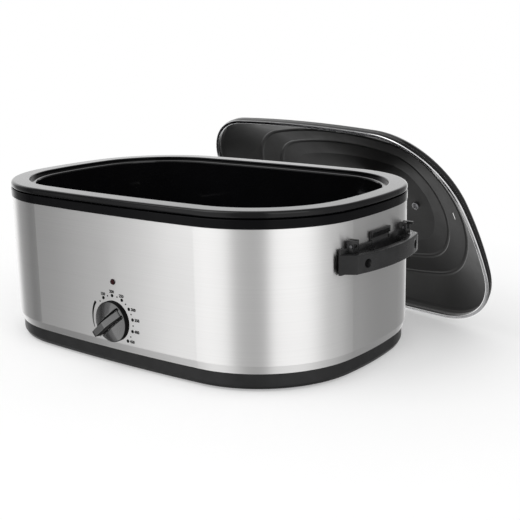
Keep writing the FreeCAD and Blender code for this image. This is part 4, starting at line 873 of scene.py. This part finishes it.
# %% The lid's screws, in the lid's own directions
LID_SCREW_APART, LID_SCREW_IN, LID_SCREW_SPIN = 0.103, 0.005, 0.7
across = Vector((math.cos(LID_TURN), math.sin(LID_TURN), 0))
lid_low, lid_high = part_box("lid_screws")
lid_screw = make_screw("lid_screw", head_radius=0.0050, head_height=0.0030,
                       shank_radius=0.0020, shank_length=0.0129)
middle = (lid_low + lid_high) / 2
copies = []
for side in (1, -1):
    seat = middle + across * LID_SCREW_APART * side - dome_axis * LID_SCREW_IN
    copies.append(put(lid_screw, seat, -dome_axis, spin=LID_SCREW_SPIN * side))
bpy.data.objects.remove(lid_screw)
lid_screws = settle(join(copies, "lid_pan_screws"), "lid", "zinc_steel", "dark_zinc")
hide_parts("lid_screws")
print("lid screws round", [round(v, 4) for v in middle])

# %% [markdown]
# ## The seam at the back
# The steel sleeve is one long sheet, so it has to meet itself somewhere. The joint is put at the
# back, where nobody looks: one end laps over the other and is held by a row of small rivets.
# The lap is a thin plate with its edges bevelled, and one rivet is turned and copied.

# %% Lap
SEAM_X, SEAM_MIDDLE = -0.060, 0.110
LAP_WIDE, LAP_THICK, LAP_TALL, LAP_EDGE = 0.016, 0.0008, 0.148, 0.0003
seam_y = bow_depth(SEAM_X)
seam_turn = math.asin(-SEAM_X / FRONT_BOW)
lap = start("cube", "seam_lap", size=1)
lap.scale = (LAP_WIDE, LAP_THICK, LAP_TALL)
ops.object.transform_apply(location=False, rotation=False, scale=True)
pick(lap, lambda middle, way: middle.y > LAP_THICK / 4, "EDGE")
mesh_ops.bevel(offset=LAP_EDGE, segments=2)
ops.object.mode_set(mode="OBJECT")
lap.rotation_euler = (0, 0, seam_turn)
lap.location = (SEAM_X, seam_y, SEAM_MIDDLE)
settle(lap, "body", "brushed_steel")

# %% Rivets
RIVET_RADIUS, RIVET_THICK = 0.0024, 0.0006
RIVET_RINGS = [(0.0004, (0, 0, 0.0004)), (0.0008, (0, 0, 0.0003))]
RIVET_STEP, RIVET_OUT = 0.032, 0.0006
rivet = start("cylinder", "seam_rivet", vertices=24, radius=RIVET_RADIUS, depth=RIVET_THICK)
pick(rivet, is_top)
raise_rings(RIVET_RINGS)
back = Vector((-math.sin(seam_turn), math.cos(seam_turn), 0))
places = [Vector((SEAM_X, seam_y, SEAM_MIDDLE + RIVET_STEP * index)) + back * RIVET_OUT
          for index in range(-2, 3)]
rivets = [put(rivet, place, back) for place in places]
bpy.data.objects.remove(rivet)
settle(join(rivets, "seam_rivets"), "body", "zinc_steel", "dark_zinc")
print("seam at", round(SEAM_X, 3), round(seam_y, 4))

# %% [markdown]
# ## The floor, the light and the background
# The oven stands on white paper in an even studio. The floor keeps the soft shadow, and for the
# lens alone it fades to plain white further out, so that no edge shows. Steel shows what stands
# round it, so the world has a few broad grey panels among the white, like the flags that a
# studio sets up to give metal its shape. Only reflections see the panels, and the lens sees plain
# white.

# %% Floor
FLOOR_SIZE = 40
FADE_NEAR, FADE_FAR = 0.46, 0.74  # distances from the oven's middle, in metres
WHITE_NEAR, WHITE_FAR = 0.35, 1.0  # how much plain white is mixed in there
floor = start("grid", "floor", x_subdivisions=2, y_subdivisions=2, size=FLOOR_SIZE,
              location=(0, 0, 0))
paper = Finish("paper", (0.95, 0.95, 0.95), roughness=0.9, specular_ior_level=0.0)
paper.shade(paper.effect(spots, scale=2.0), (0.945, 0.945, 0.945), (0.955, 0.955, 0.955))
distance = add_node(paper.tree, "ShaderNodeVectorMath", operation="LENGTH")
paper.tree.links.new(paper.place, distance.inputs[0])
faded = map_range(paper.tree, distance.outputs["Value"], WHITE_NEAR, WHITE_FAR, FADE_NEAR, FADE_FAR)
seen = paper.tree.nodes.new("ShaderNodeLightPath").outputs["Is Camera Ray"]
faded_to_lens = add_node(paper.tree, "ShaderNodeMath", operation="MULTIPLY")
white = add_node(paper.tree, "ShaderNodeEmission", color=(1, 1, 1, 1), strength=1.0)
blend = paper.tree.nodes.new("ShaderNodeMixShader")
surface = paper.tree.nodes["Material Output"].inputs["Surface"]
for source, target in ((faded, faded_to_lens.inputs[0]), (seen, faded_to_lens.inputs[1]),
                       (faded_to_lens.outputs[0], blend.inputs[0]),
                       (paper.shader.outputs[0], blend.inputs[1]),
                       (white.outputs[0], blend.inputs[2]), (blend.outputs[0], surface)):
    paper.tree.links.new(source, target)
floor.data.materials.append(paper.material)
floor.visible_glossy = False
floor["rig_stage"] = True

# %% How bright the studio is at each bearing
# bearings in degrees (0 is +X, -90 is the front) and the brightness there
PANELS = [(-180, 0.34), (-165, 0.27), (-154, 0.13), (-147, 0.24), (-141, 0.50), (-136, 0.54),
          (-132, 0.66), (-129, 1.12), (-121, 1.14), (-93, 1.08), (-79, 0.52), (-54, 0.48),
          (-42, 1.06), (-8, 1.09), (18, 0.64), (62, 0.27), (90, 0.36), (112, 1.2), (160, 1.2),
          (180, 0.34)]
LENS_WHITE, PLAIN_LIGHT = 1.0, 0.85
FLOOR_GLOW = 0.3  # what is left of the panels straight below, where the floor is
LOWEST, LOW = -0.94, -0.80  # it fades in between these; -1 is straight down and 0 is level

# %% World: panels for reflections
world = bpy.data.worlds.new("studio")
bpy.context.scene.world = world
world.use_nodes = True
tree = world.node_tree
tree.nodes.clear()
direction = tree.nodes.new("ShaderNodeTexCoord").outputs["Generated"]
split = tree.nodes.new("ShaderNodeSeparateXYZ")
tree.links.new(direction, split.inputs[0])
bearing = add_node(tree, "ShaderNodeMath", operation="ARCTAN2")
tree.links.new(split.outputs["Y"], bearing.inputs[0])
tree.links.new(split.outputs["X"], bearing.inputs[1])
share = map_range(tree, bearing.outputs["Value"], 0.0, 1.0, -math.pi, math.pi)
panels = tree.nodes.new("ShaderNodeValToRGB")
panels.color_ramp.interpolation = "EASE"
stops = panels.color_ramp.elements
while len(stops) < len(PANELS):
    stops.new(0.5)
for stop, (degrees, bright) in zip(stops, PANELS):
    stop.position = (degrees + 180) / 360
    stop.color = (bright, bright, bright, 1)
tree.links.new(share, panels.inputs["Fac"])
mirror = tree.nodes.new("ShaderNodeBackground")
tree.links.new(panels.outputs["Color"], mirror.inputs["Color"])
panel_strength = map_range(tree, split.outputs["Z"], FLOOR_GLOW, 1.0, LOWEST, LOW)
tree.links.new(panel_strength, mirror.inputs["Strength"])

# %% World: white for the lens, and plain light for the rest
def choose(ray, otherwise, chosen):
    """One light for one kind of ray, and another for all the rest."""
    switch = tree.nodes.new("ShaderNodeMixShader")
    for source, target in ((rays.outputs[ray], 0), (otherwise, 1), (chosen, 2)):
        tree.links.new(source, switch.inputs[target])
    return switch.outputs[0]


rays = tree.nodes.new("ShaderNodeLightPath")
lens_white = add_node(tree, "ShaderNodeBackground", color=(1, 1, 1, 1), strength=LENS_WHITE)
plain_light = add_node(tree, "ShaderNodeBackground", color=(1, 1, 1, 1), strength=PLAIN_LIGHT)
lit = choose("Is Glossy Ray", plain_light.outputs[0], mirror.outputs[0])
seen_world = choose("Is Camera Ray", lit, lens_white.outputs[0])
tree.links.new(seen_world, tree.nodes.new("ShaderNodeOutputWorld").inputs["Surface"])

# %% Lamps
def softbox(name, place, aim, size, watts):
    """A square area lamp that faces a point."""
    ops.object.light_add(type="AREA", location=place)
    light = bpy.context.object
    light.name = name
    light.data.shape, light.data.size, light.data.energy = "SQUARE", size, watts
    light.rotation_euler = (Vector(aim) - Vector(place)).to_track_quat("-Z", "Y").to_euler()
    return light


OVEN_MIDDLE = (0, 0, 0.1)
softbox("key", (-0.9, -1.2, 2.2), OVEN_MIDDLE, size=1.6, watts=16)
softbox("fill", (1.8, -0.9, 1.3), OVEN_MIDDLE, size=1.4, watts=6)
bpy.context.scene.view_settings.view_transform = "Standard"

# %% [markdown]
# ## The last look at the size
# The dressed oven must stay inside the solid model's box, so its own box is measured.

# %% Measure the dressed oven's box
low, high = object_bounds()
